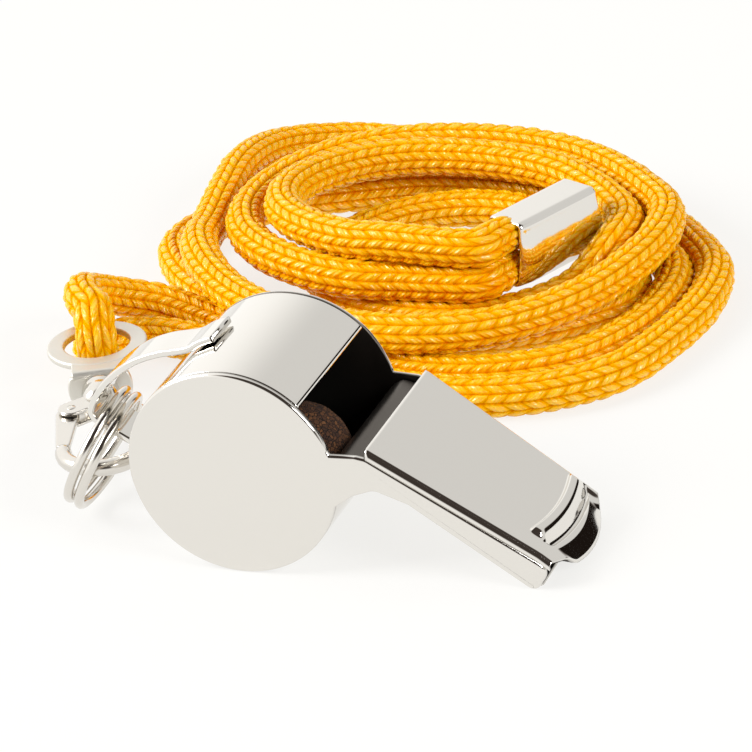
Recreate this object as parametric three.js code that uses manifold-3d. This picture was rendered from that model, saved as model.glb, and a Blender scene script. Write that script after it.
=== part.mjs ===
// Sheet-metal pea whistle on a knitted neck cord, laid down on a table.
// Millimetres, +Z up. The barrel's axis runs along Y and the mouthpiece points along +X.
import * as THREE from 'three';
import Module from 'manifold-3d';
import { mergeVertices } from 'three/addons/utils/BufferGeometryUtils.js';

const wasm = await Module();
wasm.setup();

// Driving dimensions of the whistle
const seam = 0.2;
const sheet = 0.6;
const barrelRadius = 10.5;
const barrelWidth = 18.4;
const tipWidth = 14.6;
const bendX = 8;
const tipX = 31;
const labiumAngle = 44.6;
const notchAngle = 345;
const roofStart = { x: 13.66, z: 13.95 };
const roofEnd = { x: 30.78, z: 2.82 };
const roofLip = { reach: 1.6, drop: 0.75 };
const roofLipRadius = 15.3;
const lowerLipRadius = 11.4;
const lowerLipReach = 2.9;
const bandSheet = 0.4;
const windowSill = { x: 12.67, z: 13.22 };
const notch = { x: 12.0, z: 9.0 };
const armPeak = { x: 14.07, z: 9.68 };
const armShoulder = { x: 17.25, z: 8.35 };
const heelX = 28.3;
const windwayHeight = 1.0;
const floorSheet = 0.4;
const floorEndX = 28.4;
const floorInnerX = 13.0;
const floorShelf = { x: 11.2, rise: 0.35 };
const floorWall = { from: 9, to: -10, inset: 0.3 };
const biteRib = { back: 2.6, halfLength: 5.2, radius: 0.45, bow: 0.9 };

// Driving dimensions of the pea, the ear and the split ring
const peaRadius = 5.2;
const peaAngle = -9;
const peaPlay = 0.4;
const earWidth = 4.6;
const earSheet = 0.7;
const earReach = 7.21;
const earFeet = { top: [108, 124], bottom: [194, 208] };
const ringRadius = 5.9;
const ringWire = 1.0;
const ringPitch = 1.42;
const ringTurns = 1.9;
const ringTilt = 30;
const ringCentre = { x: -18.05, y: 0.2, z: 7.2 };

// Driving dimensions of the snap hook and the swivel eye
const hookTurn = -65;
const hub = { x: -25.93, y: 17.33, z: 4.35 };
const tabRadius = 3.3;
const tabSheet = 0.8;
const tabHole = 1.25;
const pinRadius = 0.95;
const pinHead = { radius: 1.15, depth: 0.7 };
const bossRadius = 1.95;
const bossStart = 1.0;
const bossLength = 3.6;
const bowRadius = 4.0;
const bowWire = 1.7;
const bowCentre = 14.15;
const bowStart = 6.6;
const gateLength = 6.8;
const gateThick = 1.5;
const gatePinRadius = 0.5;
const gateEar = 0.35;
const gatePlay = 0.15;
const eyeLoop = { back: 6.4, outer: 5.2, inner: 3.4, sheet: 0.7, height: 5.6 };

// Driving dimensions of the cord and its crimp
const cordDiameter = 3.8;
const cordSides = 8;
const coilSides = 6;
const crimpCentre = { x: 10.4, y: 52.6, z: 7.8 };
const crimpTurn = 65;
const crimpSize = { length: 11.4, thick: 4.8, height: 7.2, wall: 0.5, lap: 0.9 };
const mouthGap = 0.3;
const coilCentre = { x: -3, y: 55 };
const coilStep = 15;

// The wound strands: each row is the turn in degrees, the reach from the coil's centre, the height.
// Turn 0 is the coil's near side, 90 its left, 180 its far side and 270 its right.
const coilA = {
  height: 9.8,
  rows: [
    [5, 11.6, 10.0], [45, 12.9, 9.4], [90, 17.0, 8.8], [135, 18.3, 7.4], [180, 17.6, 6.5], [225, 18.2, 6.3],
    [240, 19.0, 6.3], [256, 20.4, 6.3], [270, 20.5, 6.5], [288, 18.7, 3.4], [315, 15.3, 1.9], [360, 12.6, 1.9],
    [405, 12.4, 2.0], [450, 12.6, 2.0], [495, 13.5, 2.0], [540, 14.5, 2.0], [580, 15.6, 2.0], [600, 16.9, 2.1],
    [616, 19.1, 2.0], [630, 21.8, 1.9], [640, 23.5, 2.0], [648, 23.3, 1.9], [675, 20.1, 2.0], [720, 17.3, 2.0],
    [765, 20.5, 2.0], [787, 25.3, 2.0], [810, 30.3, 2.0], [830, 28.4, 2.0], [855, 22.9, 2.0], [900, 19.3, 2.0],
    [940, 20.1, 2.0], [960, 21.4, 2.0], [976, 24.0, 2.0], [990, 26.5, 2.1], [1008, 28.0, 2.0], [1035, 29.7, 2.1],
    [1065, 25.8, 1.9], [1085, 22.8, 1.9], [1108, 23.2, 2.0],
  ],
};
const coilB = {
  height: 5.9,
  rows: [
    [0, 12.3, 5.9], [45, 16.6, 6.7], [90, 21.6, 6.7], [135, 22.7, 6.9], [180, 21.9, 6.5], [225, 22.4, 6.4],
    [240, 23.3, 6.4], [256, 24.9, 6.4], [275, 24.6, 6.4], [300, 24.1, 5.6], [330, 25.0, 5.7], [360, 25.0, 6.3],
    [405, 24.4, 6.2], [427, 25.2, 6.5], [450, 26.0, 5.3], [470, 28.8, 6.4], [485, 34.0, 5.0], [500, 37.2, 2.6],
    [511, 34.8, 2.0], [522, 30.9, 2.0], [545, 27.6, 2.0], [570, 24.8, 2.0], [600, 25.6, 2.0], [616, 28.4, 2.0],
    [630, 31.0, 2.0], [648, 32.1, 2.0], [675, 34.9, 2.0], [700, 31.5, 2.0], [722, 27.3, 2.0], [744, 27.1, 2.0],
  ],
};

// The free stretch from one wound strand, through the eye and back to the other
const leadOut = [
  [-14.0, 34.5, 2.0], [-18.0, 36.0, 2.0], [-23.0, 37.9, 2.3], [-28.0, 38.5, 3.4], [-32.3, 36.4, 5.0],
  [-33.7, 32.9, 7.0], [-32.9, 30.0, 8.3], [-31.6, 27.7, 8.6],
];
const leadBack = [
  [-31.8, 28.2, 3.1], [-31.6, 30.6, 2.6], [-29.4, 32.9, 2.1], [-25.5, 33.6, 2.0], [-20.0, 32.2, 2.0],
  [-14.0, 30.2, 2.0],
];
const leadBend = { reach: 9.8, radius: 2.6 };

const deg = THREE.MathUtils.degToRad;
const finishes = {
  nickel: { color: 0xd9d9d6, roughness: 0.12, metalness: 1 },
  wire: { color: 0xc9c8c4, roughness: 0.2, metalness: 1 },
  cork: { color: 0x7a4f2c, roughness: 0.9, metalness: 0 },
  cord: { color: 0xf5ad08, roughness: 0.8, metalness: 0 },
};
const part = new THREE.Group();

function addPiece(name, geometry, finish) {
  const mesh = new THREE.Mesh(geometry, new THREE.MeshStandardMaterial(finishes[finish]));
  mesh.name = name;
  part.add(mesh);
  return mesh;
}

// Booleans: three.js geometry to manifold-3d and back
function toSolid(geometry) {
  const bare = geometry.clone();
  bare.deleteAttribute('normal');
  bare.deleteAttribute('uv');
  const merged = mergeVertices(bare, 1e-4);
  const mesh = new wasm.Mesh({
    numProp: 3,
    vertProperties: new Float32Array(merged.attributes.position.array),
    triVerts: new Uint32Array(merged.index.array),
  });
  return new wasm.Manifold(mesh);
}

function toGeometry(solid) {
  const mesh = solid.getMesh();
  const geometry = new THREE.BufferGeometry();
  geometry.setAttribute('position', new THREE.BufferAttribute(new Float32Array(mesh.vertProperties), 3));
  geometry.setIndex(new THREE.BufferAttribute(new Uint32Array(mesh.triVerts), 1));
  geometry.computeVertexNormals();
  return geometry;
}

function join(...geometries) {
  return toGeometry(geometries.map(toSolid).reduce((whole, next) => whole.add(next)));
}

function cut(base, ...tools) {
  return toGeometry(tools.map(toSolid).reduce((whole, next) => whole.subtract(next), toSolid(base)));
}

function common(first, second) {
  return toGeometry(toSolid(first).intersect(toSolid(second)));
}

// A closed outline in the XZ plane, extruded from y0 to y1
function prismY(outline, y0, y1) {
  const shape = new THREE.Shape(outline.map((p) => new THREE.Vector2(p.x, p.z)));
  const geometry = new THREE.ExtrudeGeometry(shape, { depth: y1 - y0, bevelEnabled: false });
  return geometry.rotateX(Math.PI / 2).translate(0, y1, 0);
}

// A closed outline in the XY plane, extruded from z0 to z1
function prismZ(outline, z0, z1, holes = []) {
  const shape = new THREE.Shape(outline.map((p) => new THREE.Vector2(p.x, p.y)));
  shape.holes = holes.map((hole) => new THREE.Path(hole.map((p) => new THREE.Vector2(p.x, p.y))));
  const geometry = new THREE.ExtrudeGeometry(shape, { depth: z1 - z0, bevelEnabled: false });
  return geometry.translate(0, 0, z0);
}

function barrelPoint(radius, angle) {
  return { x: radius * Math.cos(deg(angle)), z: barrelRadius + radius * Math.sin(deg(angle)) };
}

function barrelArc(radius, from, to, step = 6) {
  const count = Math.max(1, Math.round(Math.abs(to - from) / step));
  return Array.from({ length: count + 1 }, (_, i) => barrelPoint(radius, from + ((to - from) * i) / count));
}

// A strip of the given thickness: the path is one face, the other lies to its left
function ribbon(path, thickness) {
  const other = path.map((p, i) => {
    const before = path[Math.max(0, i - 1)];
    const after = path[Math.min(path.length - 1, i + 1)];
    const into = unit2(p.x - before.x, p.z - before.z);
    const out = unit2(after.x - p.x, after.z - p.z);
    const along = i === 0 ? out : i === path.length - 1 ? into : unit2(into.x + out.x, into.z + out.z);
    const turn = i === 0 || i === path.length - 1 ? 1 : along.x * out.x + along.z * out.z;
    return { x: p.x - (along.z * thickness) / turn, z: p.z + (along.x * thickness) / turn };
  });
  return path.concat(other.reverse());
}

function unit2(x, z) {
  const length = Math.hypot(x, z) || 1;
  return { x: x / length, z: z / length };
}

// The arm narrows in plan towards the mouthpiece's tip
const narrowing = (barrelWidth - tipWidth) / 2 / (tipX - bendX);

function narrowArm(geometry) {
  const position = geometry.attributes.position;
  for (let i = 0; i < position.count; i += 1) {
    const inward = narrowing * Math.max(0, position.getX(i) - bendX);
    const y = position.getY(i);
    position.setY(i, y - Math.sign(y) * inward);
  }
  geometry.computeVertexNormals();
  return geometry;
}

const roofSlope = (roofStart.z - roofEnd.z) / (roofEnd.x - roofStart.x);
const roofAngle = Math.atan(roofSlope);
const roofZ = (x) => roofStart.z - roofSlope * (x - roofStart.x);
const underRoof = (x, depth) => roofZ(x) - depth / Math.cos(roofAngle);
const halfWidth = barrelWidth / 2;

// Side plates: a disc with an arm, the arm folded slightly inwards at bendX
function sidePlate(side) {
  const top = underRoof(roofStart.x, sheet + seam);
  const sill = Math.atan2(windowSill.z - barrelRadius, windowSill.x) * (180 / Math.PI);
  const rim = barrelArc(barrelRadius, sill * 1.25, notchAngle);
  const arm = [notch, armPeak, armShoulder, { x: heelX, z: 0.02 }, { x: heelX + 0.7, z: 0.02 }];
  const tip = { x: roofEnd.x - 0.35, z: underRoof(roofEnd.x - 0.35, sheet + seam) };
  const throat = [tip, { x: roofStart.x, z: top }, { x: windowSill.x, z: windowSill.z }];
  const outer = side < 0 ? -halfWidth : halfWidth - sheet;
  const whole = prismY(rim.concat(arm, throat), outer, outer + sheet);
  const discBox = new THREE.BoxGeometry(40, 40, 60).translate(bendX - 20, 0, barrelRadius);
  const armBox = new THREE.BoxGeometry(40, 40, 60).translate(bendX + 20, 0, barrelRadius);
  const armPart = slopeArm(common(whole, armBox), side);
  return join(common(whole, discBox), armPart);
}

function slopeArm(geometry, side) {
  const position = geometry.attributes.position;
  for (let i = 0; i < position.count; i += 1) {
    const inward = narrowing * Math.max(0, position.getX(i) - bendX);
    position.setY(i, position.getY(i) - side * inward);
  }
  return geometry;
}

// The band runs from the labium round the barrel and on as the arm's underside and lower lip
function barrelBand() {
  const outline = barrelArc(barrelRadius, labiumAngle, notchAngle, 5);
  const underside = [notch, armPeak, armShoulder, { x: heelX, z: 0 }, { x: tipX + 1.5, z: 0 }];
  const inside = halfWidth - sheet - seam;
  const strip = narrowArm(prismY(ribbon(outline.concat(underside), bandSheet), -inside, inside));
  const lip = lipPlan(heelX + lowerLipReach, lowerLipRadius);
  return common(strip, lip);
}

// Everything inside a convex tip of the given reach and radius, seen from above
function lipPlan(reach, radius) {
  const centre = reach - radius;
  const half = Math.min(radius * 0.98, 30);
  const points = [{ x: -40, y: -30 }];
  const span = Math.asin(Math.min(1, half / radius));
  for (let i = 0; i <= 20; i += 1) {
    const angle = -span + (2 * span * i) / 20;
    points.push({ x: centre + radius * Math.cos(angle), y: radius * Math.sin(angle) });
  }
  points[0] = { x: points[1].x, y: -30 };
  points.unshift({ x: -40, y: -30 });
  points.push({ x: points[points.length - 1].x, y: 30 }, { x: -40, y: 30 });
  return prismZ(points, -30, 60);
}

function roofPath() {
  const lipStart = { x: roofEnd.x, z: roofZ(roofEnd.x) };
  const lipEnd = { x: roofEnd.x + roofLip.reach, z: lipStart.z - roofLip.drop };
  return [roofStart, { x: roofEnd.x - 0.5, z: roofZ(roofEnd.x - 0.5) }, lipStart, lipEnd];
}

function mouthRoof() {
  const path = roofPath().reverse();
  const plate = narrowArm(prismY(ribbon(path, sheet), -halfWidth, halfWidth));
  const rib = biteRibSolid();
  return join(common(plate, lipPlan(roofEnd.x + roofLip.reach - 0.1, roofLipRadius)), rib);
}

// The raised rib that the teeth hold, bowed along the tip
function biteRibSolid() {
  const x = roofEnd.x - biteRib.back;
  const points = [];
  for (let i = -4; i <= 4; i += 1) {
    const y = (biteRib.halfLength * i) / 4;
    const bow = biteRib.bow * (1 - (i / 4) ** 2);
    points.push(new THREE.Vector3(x + bow, y, roofZ(x + bow)));
  }
  return tube(points, biteRib.radius, 8, 16);
}

// The floor of the windway, turned down at its inner end to close the chamber
function windwayFloor() {
  const depth = sheet + windwayHeight;
  const inner = { x: floorInnerX, z: underRoof(floorInnerX, depth) };
  const shelf = { x: floorShelf.x, z: inner.z + floorShelf.rise };
  const wall = barrelArc(barrelRadius - floorWall.inset, floorWall.from, floorWall.to, 5);
  const path = [{ x: floorEndX, z: underRoof(floorEndX, depth) }, inner, shelf].concat(wall);
  const inside = halfWidth - sheet - seam;
  return narrowArm(prismY(ribbon(path, floorSheet), -inside, inside));
}

// The hanging ear's free stretch: the angle round the barrel, and its share of the ear's reach over it
const earRise = [
  [137.8, 0.34], [147.1, 0.525], [155.6, 0.69], [163.5, 0.843], [170.75, 0.961],
  [175.14, 1.0], [177.85, 0.945], [180.35, 0.79], [189.7, 0.316],
];

// The hanging ear: a bent strip with both feet on the barrel's back
function hangerEar() {
  const foot = barrelRadius + seam + earSheet;
  const topFoot = barrelArc(foot, ...earFeet.top, 5);
  const bottomFoot = barrelArc(foot, ...earFeet.bottom, 5);
  const free = earRise.map(([angle, share]) => barrelPoint(barrelRadius + share * earReach, angle));
  return prismY(ribbon([...topFoot, ...free, ...bottomFoot], earSheet), -earWidth / 2, earWidth / 2);
}

// The cork ball, lying against the band and near the front plate
function corkPea() {
  const ball = new THREE.IcosahedronGeometry(peaRadius, 4);
  const seat = barrelPoint(barrelRadius - bandSheet - peaRadius - seam, peaAngle);
  const peaY = -(halfWidth - sheet - peaRadius - peaPlay);
  const bare = ball.deleteAttribute('normal').deleteAttribute('uv');
  return mergeVertices(bare).translate(seat.x, peaY, seat.z);
}

// A closed tube along points, by ExtrudeGeometry along a smooth curve
function tube(points, radius, sides, steps) {
  const curve = new THREE.CatmullRomCurve3(points, false, 'centripetal');
  const ring = Array.from({ length: sides }, (_, i) => {
    const angle = (2 * Math.PI * i) / sides;
    return new THREE.Vector2(radius * Math.cos(angle), radius * Math.sin(angle));
  });
  const shape = new THREE.Shape(ring);
  return new THREE.ExtrudeGeometry(shape, { steps, extrudePath: curve, bevelEnabled: false });
}

// The split ring: a flat double helix of wire about its own axis
function splitRing() {
  const points = [];
  const count = Math.round(ringTurns * 30);
  for (let i = 0; i <= count; i += 1) {
    const angle = (2 * Math.PI * ringTurns * i) / count + deg(200);
    const along = ringPitch * ringTurns * (i / count - 0.5);
    points.push(new THREE.Vector3(along, ringRadius * Math.cos(angle), ringRadius * Math.sin(angle)));
  }
  const coil = smoothTube(points, ringWire / 2, 8);
  coil.rotateY(deg(ringTilt));
  return coil.translate(ringCentre.x, ringCentre.y, ringCentre.z);
}

// A closed tube with one ring of vertices at every point, turned with the least twist
function smoothTube(points, radius, sides) {
  const positions = [];
  const index = [];
  let side = new THREE.Vector3(0, 0, 1);
  points.forEach((point, i) => {
    const before = points[Math.max(0, i - 1)];
    const after = points[Math.min(points.length - 1, i + 1)];
    const along = after.clone().sub(before).normalize();
    side = side.clone().addScaledVector(along, -side.dot(along)).normalize();
    const across = new THREE.Vector3().crossVectors(along, side);
    for (let k = 0; k < sides; k += 1) {
      const angle = (2 * Math.PI * k) / sides;
      const p = point.clone().addScaledVector(side, radius * Math.cos(angle));
      p.addScaledVector(across, radius * Math.sin(angle));
      positions.push(p.x, p.y, p.z);
    }
  });
  for (let i = 0; i < points.length - 1; i += 1) {
    for (let k = 0; k < sides; k += 1) {
      const a = i * sides + k;
      const b = i * sides + ((k + 1) % sides);
      index.push(a, b, b + sides, a, b + sides, a + sides);
    }
  }
  const last = (points.length - 1) * sides;
  for (let k = 1; k < sides - 1; k += 1) {
    index.push(0, k + 1, k, last, last + k, last + k + 1);
  }
  const geometry = new THREE.BufferGeometry();
  geometry.setAttribute('position', new THREE.Float32BufferAttribute(positions, 3));
  geometry.setIndex(index);
  geometry.computeVertexNormals();
  return geometry;
}

// The hook's own frame: x along the swivel's axis, y across, z up, origin at the hub
function placeOnHub(geometry) {
  return geometry.rotateZ(deg(hookTurn)).translate(hub.x, hub.y, hub.z);
}

function cylinderX(radius, x0, x1, sides = 24) {
  const geometry = new THREE.CylinderGeometry(radius, radius, x1 - x0, sides);
  return geometry.rotateZ(-Math.PI / 2).translate((x0 + x1) / 2, 0, 0);
}

function circle(x, y, radius, count, from = 0, to = 360) {
  const closed = Math.abs(to - from) === 360;
  const last = closed ? count : count - 1;
  return Array.from({ length: count }, (_, i) => {
    const angle = deg(from + ((to - from) * i) / last);
    return { x: x + radius * Math.cos(angle), y: y + radius * Math.sin(angle) };
  });
}

// The swivel eye: an upright round tab folded from a flat loop
function swivelEye() {
  const tab = cylinderX(tabRadius, -tabSheet / 2, tabSheet / 2, 32);
  const hole = cylinderX(tabHole, -2, 2, 24);
  const top = eyeLoop.height - hub.z;
  const loopX = -eyeLoop.back;
  const annulus = prismZ(circle(loopX, 0, eyeLoop.outer, 40), top, top + eyeLoop.sheet);
  const opening = prismZ(circle(loopX, 0, eyeLoop.inner, 32), top - 1, top + 2);
  const neck = prismZ([
    { x: -2.2, y: -2.9 }, { x: tabSheet / 2, y: -2.9 }, { x: tabSheet / 2, y: 2.9 }, { x: -2.2, y: 2.9 },
  ], top, top + eyeLoop.sheet);
  const cap = prismZ([
    { x: -9, y: -4 }, { x: 9, y: -4 }, { x: 9, y: 4 }, { x: -9, y: 4 },
  ], top + eyeLoop.sheet, top + 9);
  const upright = cut(tab, hole, cap);
  return placeOnHub(join(cut(join(annulus, neck), opening), upright));
}

function swivelPin() {
  const shank = cylinderX(pinRadius, -tabSheet / 2 - 0.25, bossStart + 1.2);
  const head = cylinderX(pinHead.radius, -tabSheet / 2 - 0.25 - pinHead.depth, -tabSheet / 2 - 0.25);
  return placeOnHub(join(shank, head));
}

// The hook's body: a boss on the pin, a neck, one long side and the round bow
function hookBody() {
  const boss = cylinderX(bossRadius, bossStart, bossStart + bossLength);
  const socket = cylinderX(pinRadius + seam / 2, bossStart - 1, bossStart + 1.2 + seam);
  const half = bowWire / 2;
  const rim = [];
  rim.push({ x: bossStart + 2.6, y: -bossRadius * 0.7 });
  rim.push({ x: bowStart, y: -bowRadius - half });
  rim.push(...circle(bowCentre, 0, bowRadius + half, 15, -90, 90));
  rim.push({ x: bowStart + gateLength, y: bowRadius + half });
  rim.push({ x: bowStart + gateLength, y: bowRadius - half });
  rim.push(...circle(bowCentre, 0, bowRadius - half, 13, 90, -90));
  rim.push({ x: bowStart + 0.6, y: -bowRadius + half });
  rim.push({ x: bowStart - 0.4, y: -bossRadius * 0.2 });
  rim.push({ x: bowStart - 0.9, y: bossRadius * 0.7 });
  rim.push({ x: bossStart + 2.6, y: bossRadius * 0.7 });
  const frame = prismZ(rim, -half, half);
  const ear = prismZ(circle(bowStart - 0.9, bowRadius - 1.0, 1.35, 16), -half, -half + gateEar);
  const earTop = prismZ(circle(bowStart - 0.9, bowRadius - 1.0, 1.35, 16), half - gateEar, half);
  const arm = prismZ([
    { x: bowStart - 2.6, y: 0 }, { x: bowStart - 0.9, y: 0 },
    { x: bowStart - 0.4, y: bowRadius - 1.0 }, { x: bowStart - 2.0, y: bowRadius - 1.0 },
  ], -half, half);
  const slot = prismZ([
    { x: bowStart - 2.6, y: 0.9 }, { x: bowStart + 2, y: 0.9 },
    { x: bowStart + 2, y: 6 }, { x: bowStart - 2.6, y: 6 },
  ], -half + gateEar, half - gateEar);
  const pinHole = prismZ(circle(bowStart - 0.9, bowRadius - 1.0, gatePinRadius + 0.05, 16), -5, 5);
  const body = cut(join(boss, frame, ear, earTop, arm), slot, pinHole, socket);
  return placeOnHub(body.rotateX(Math.PI));
}

// The sprung lever that closes the hook's side
function hookGate() {
  const thick = bowWire / 2 - gateEar - gatePlay;
  const pivot = { x: bowStart - 0.9, y: bowRadius - 1.0 };
  const lever = prismZ([
    { x: pivot.x - 0.7, y: pivot.y - 0.7 }, { x: pivot.x + 0.8, y: pivot.y - 0.75 },
    { x: bowStart + gateLength - seam, y: bowRadius - gateThick / 2 },
    { x: bowStart + gateLength - seam, y: bowRadius + gateThick / 2 },
    { x: pivot.x + 1.2, y: bowRadius + gateThick / 2 },
    { x: pivot.x - 0.5, y: bowRadius + 1.7 }, { x: pivot.x - 1.1, y: bowRadius + 1.3 },
  ], -thick, thick);
  const pinHole = prismZ(circle(pivot.x, pivot.y, gatePinRadius + 0.05, 16), -5, 5);
  return placeOnHub(cut(lever, pinHole).rotateX(Math.PI));
}

function gatePin() {
  const pin = prismZ(circle(bowStart - 0.9, bowRadius - 1.0, gatePinRadius, 16), -bowWire / 2, bowWire / 2);
  return placeOnHub(pin.rotateX(Math.PI));
}

// A smooth value between rows, by a cubic through the neighbouring rows
function rowValue(rows, turn, column) {
  const last = rows.length - 2;
  const i = Math.max(0, Math.min(last, rows.findIndex((row) => row[0] > turn) - 1));
  const here = turn >= rows[last + 1][0] ? last : i;
  const [t0, t1] = [rows[here][0], rows[here + 1][0]];
  const [v0, v1] = [rows[here][column], rows[here + 1][column]];
  const slopeAt = (k) => {
    const a = rows[Math.max(0, k - 1)];
    const b = rows[Math.min(rows.length - 1, k + 1)];
    return (b[column] - a[column]) / (b[0] - a[0]);
  };
  const span = t1 - t0;
  const u = (turn - t0) / span;
  const bend0 = u * (1 - u) * (1 - u) * span * slopeAt(here);
  const bend1 = u * u * (u - 1) * span * slopeAt(here + 1);
  return v0 + (v1 - v0) * u * u * (3 - 2 * u) + bend0 + bend1;
}

function coilPoint(rows, turn) {
  const angle = deg(270 - turn);
  const reach = rowValue(rows, turn, 1);
  const height = Math.max(cordDiameter / 2 + 0.05, rowValue(rows, turn, 2));
  return new THREE.Vector3(
    coilCentre.x + reach * Math.cos(angle), coilCentre.y + reach * Math.sin(angle), height,
  );
}

// A wound strand: straight out of the crimp's mouth, then round the coil
function coilStrand(strand) {
  const along = { x: Math.cos(deg(crimpTurn)), y: Math.sin(deg(crimpTurn)) };
  const points = [];
  [0, cordDiameter * 0.5, cordDiameter].forEach((out) => {
    const back = crimpSize.length / 2 + mouthGap + out;
    points.push(new THREE.Vector3(
      crimpCentre.x - along.x * back, crimpCentre.y - along.y * back, strand.height,
    ));
  });
  const first = strand.rows[0][0];
  const last = strand.rows[strand.rows.length - 1][0];
  const count = Math.round((last - first) / coilStep);
  for (let i = 0; i <= count; i += 1) {
    points.push(coilPoint(strand.rows, first + ((last - first) * i) / count));
  }
  return points;
}

// The bend of the free stretch round the eye's far bar, in the upright plane of the hook's axis
function leadPoints() {
  const along = { x: Math.cos(deg(hookTurn)), y: Math.sin(deg(hookTurn)) };
  const centre = { x: hub.x - along.x * leadBend.reach, y: hub.y - along.y * leadBend.reach };
  const level = eyeLoop.height + eyeLoop.sheet / 2;
  const bend = [80, 50, 20, -10, -40, -70].map((angle) => new THREE.Vector3(
    centre.x + along.x * leadBend.radius * Math.cos(deg(angle)),
    centre.y + along.y * leadBend.radius * Math.cos(deg(angle)),
    level + leadBend.radius * Math.sin(deg(angle)),
  ));
  const listed = (rows) => rows.map((row) => new THREE.Vector3(...row));
  return listed(leadOut).concat(bend, listed(leadBack));
}

function cordLead() {
  const curve = new THREE.CatmullRomCurve3(leadPoints(), false, 'centripetal');
  const points = curve.getPoints(60);
  const start = points[0].clone().sub(points[1]).normalize();
  const end = points[60].clone().sub(points[59]).normalize();
  points[0].addScaledVector(start, -mouthGap);
  points[60].addScaledVector(end, -mouthGap);
  return smoothTube(points, cordDiameter / 2, cordSides);
}

// The crimp: a folded sleeve, closed along its lower edge, with both strands' ends inside
function crimp() {
  const { length, thick, height, wall, lap } = crimpSize;
  const outer = new THREE.BoxGeometry(length, thick, height);
  const bore = new THREE.BoxGeometry(length + 2, thick - 2 * wall, height - 2 * wall);
  const slot = new THREE.BoxGeometry(length + 2, wall * 3, lap).translate(0, thick / 2, -height / 2 + 2 * lap);
  const sleeve = cut(outer, bore, slot);
  sleeve.rotateZ(deg(crimpTurn));
  return sleeve.translate(crimpCentre.x, crimpCentre.y, crimpCentre.z);
}

// The least distance between a wound strand's own turns, less the cord's diameter
function leastGap(points) {
  let least = Infinity;
  const fine = new THREE.CatmullRomCurve3(points, false, 'centripetal').getPoints(points.length * 4);
  const lengths = [0];
  fine.forEach((p, i) => {
    if (i > 0) lengths.push(lengths[i - 1] + p.distanceTo(fine[i - 1]));
  });
  for (let i = 0; i < fine.length; i += 1) {
    for (let k = i + 1; k < fine.length; k += 1) {
      if (lengths[k] - lengths[i] > 12) least = Math.min(least, fine[i].distanceTo(fine[k]));
    }
  }
  return { gap: least - cordDiameter, length: lengths[lengths.length - 1] };
}

// Build the pieces
addPiece('side_plate_front', sidePlate(-1), 'nickel');
addPiece('side_plate_back', sidePlate(1), 'nickel');
addPiece('barrel_band', barrelBand(), 'nickel');
addPiece('mouthpiece_roof', mouthRoof(), 'nickel');
addPiece('windway_floor', windwayFloor(), 'nickel');
addPiece('hanger_ear', hangerEar(), 'nickel');
addPiece('cork_pea', corkPea(), 'cork');
addPiece('split_ring', splitRing(), 'wire');
addPiece('hook_body', hookBody(), 'nickel');
addPiece('hook_gate', hookGate(), 'nickel');
addPiece('gate_pin', gatePin(), 'nickel');
addPiece('swivel_pin', swivelPin(), 'nickel');
addPiece('swivel_eye', swivelEye(), 'nickel');
addPiece('crimp', crimp(), 'nickel');
[['cord_coil_a', coilA], ['cord_coil_b', coilB]].forEach(([name, strand]) => {
  const points = coilStrand(strand);
  const { gap, length } = leastGap(points);
  console.log(`${name}: length ${length.toFixed(1)} mm, least gap to itself ${gap.toFixed(2)} mm`);
  addPiece(name, smoothTube(points, cordDiameter / 2, coilSides), 'cord');
});
addPiece('cord_lead', cordLead(), 'cord');
const lead = new THREE.CatmullRomCurve3(leadPoints(), false, 'centripetal');
console.log(`cord_lead: length ${lead.getLength().toFixed(1)} mm`);

// The shared frame's origin: bottom centre of the whistle with its ring
const onCord = ['hook_body', 'hook_gate', 'gate_pin', 'swivel_pin', 'swivel_eye', 'crimp', 'cord_coil_a',
  'cord_coil_b', 'cord_lead'];
const bounds = new THREE.Box3();
part.children.filter((mesh) => !onCord.includes(mesh.name)).forEach((mesh) => bounds.expandByObject(mesh));
const origin = bounds.getCenter(new THREE.Vector3()).setZ(bounds.min.z);
part.children.forEach((mesh) => mesh.position.sub(origin));
console.log(`origin in the whistle's own frame: ${origin.toArray().map((v) => v.toFixed(3)).join(', ')}`);

export default part;
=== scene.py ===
"""Looks of the sheet-metal whistle on its knitted neck cord. Surfaces are worked out in millimetres, in the
whistle's own frame: the barrel's axis along Y at x = 0, z = 10.5, the table at z = 0, the mouth along +X."""

import bpy
import numpy as np
from mathutils import Matrix, Vector


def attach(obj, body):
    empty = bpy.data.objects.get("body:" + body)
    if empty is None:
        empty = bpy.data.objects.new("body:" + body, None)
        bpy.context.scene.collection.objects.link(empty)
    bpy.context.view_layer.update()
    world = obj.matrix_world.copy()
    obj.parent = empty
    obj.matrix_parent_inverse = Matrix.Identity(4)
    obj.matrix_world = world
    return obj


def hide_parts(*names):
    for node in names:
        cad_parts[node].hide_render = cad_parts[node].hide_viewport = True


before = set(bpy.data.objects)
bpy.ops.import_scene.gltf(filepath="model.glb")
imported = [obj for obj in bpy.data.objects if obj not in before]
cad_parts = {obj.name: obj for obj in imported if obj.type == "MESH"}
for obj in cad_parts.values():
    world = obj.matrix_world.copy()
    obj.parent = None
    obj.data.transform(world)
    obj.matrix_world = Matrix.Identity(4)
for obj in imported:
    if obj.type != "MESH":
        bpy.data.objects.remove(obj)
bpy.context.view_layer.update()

MM = 0.001
TAU = 2 * np.pi
# The row's origin in the whistle's own frame, as part.mjs prints it
ORIGIN = np.array([4.936, 0.0, 0.0])
Z = np.array([0.0, 0.0, 1.0])


# Meshes from computed grids

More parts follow.
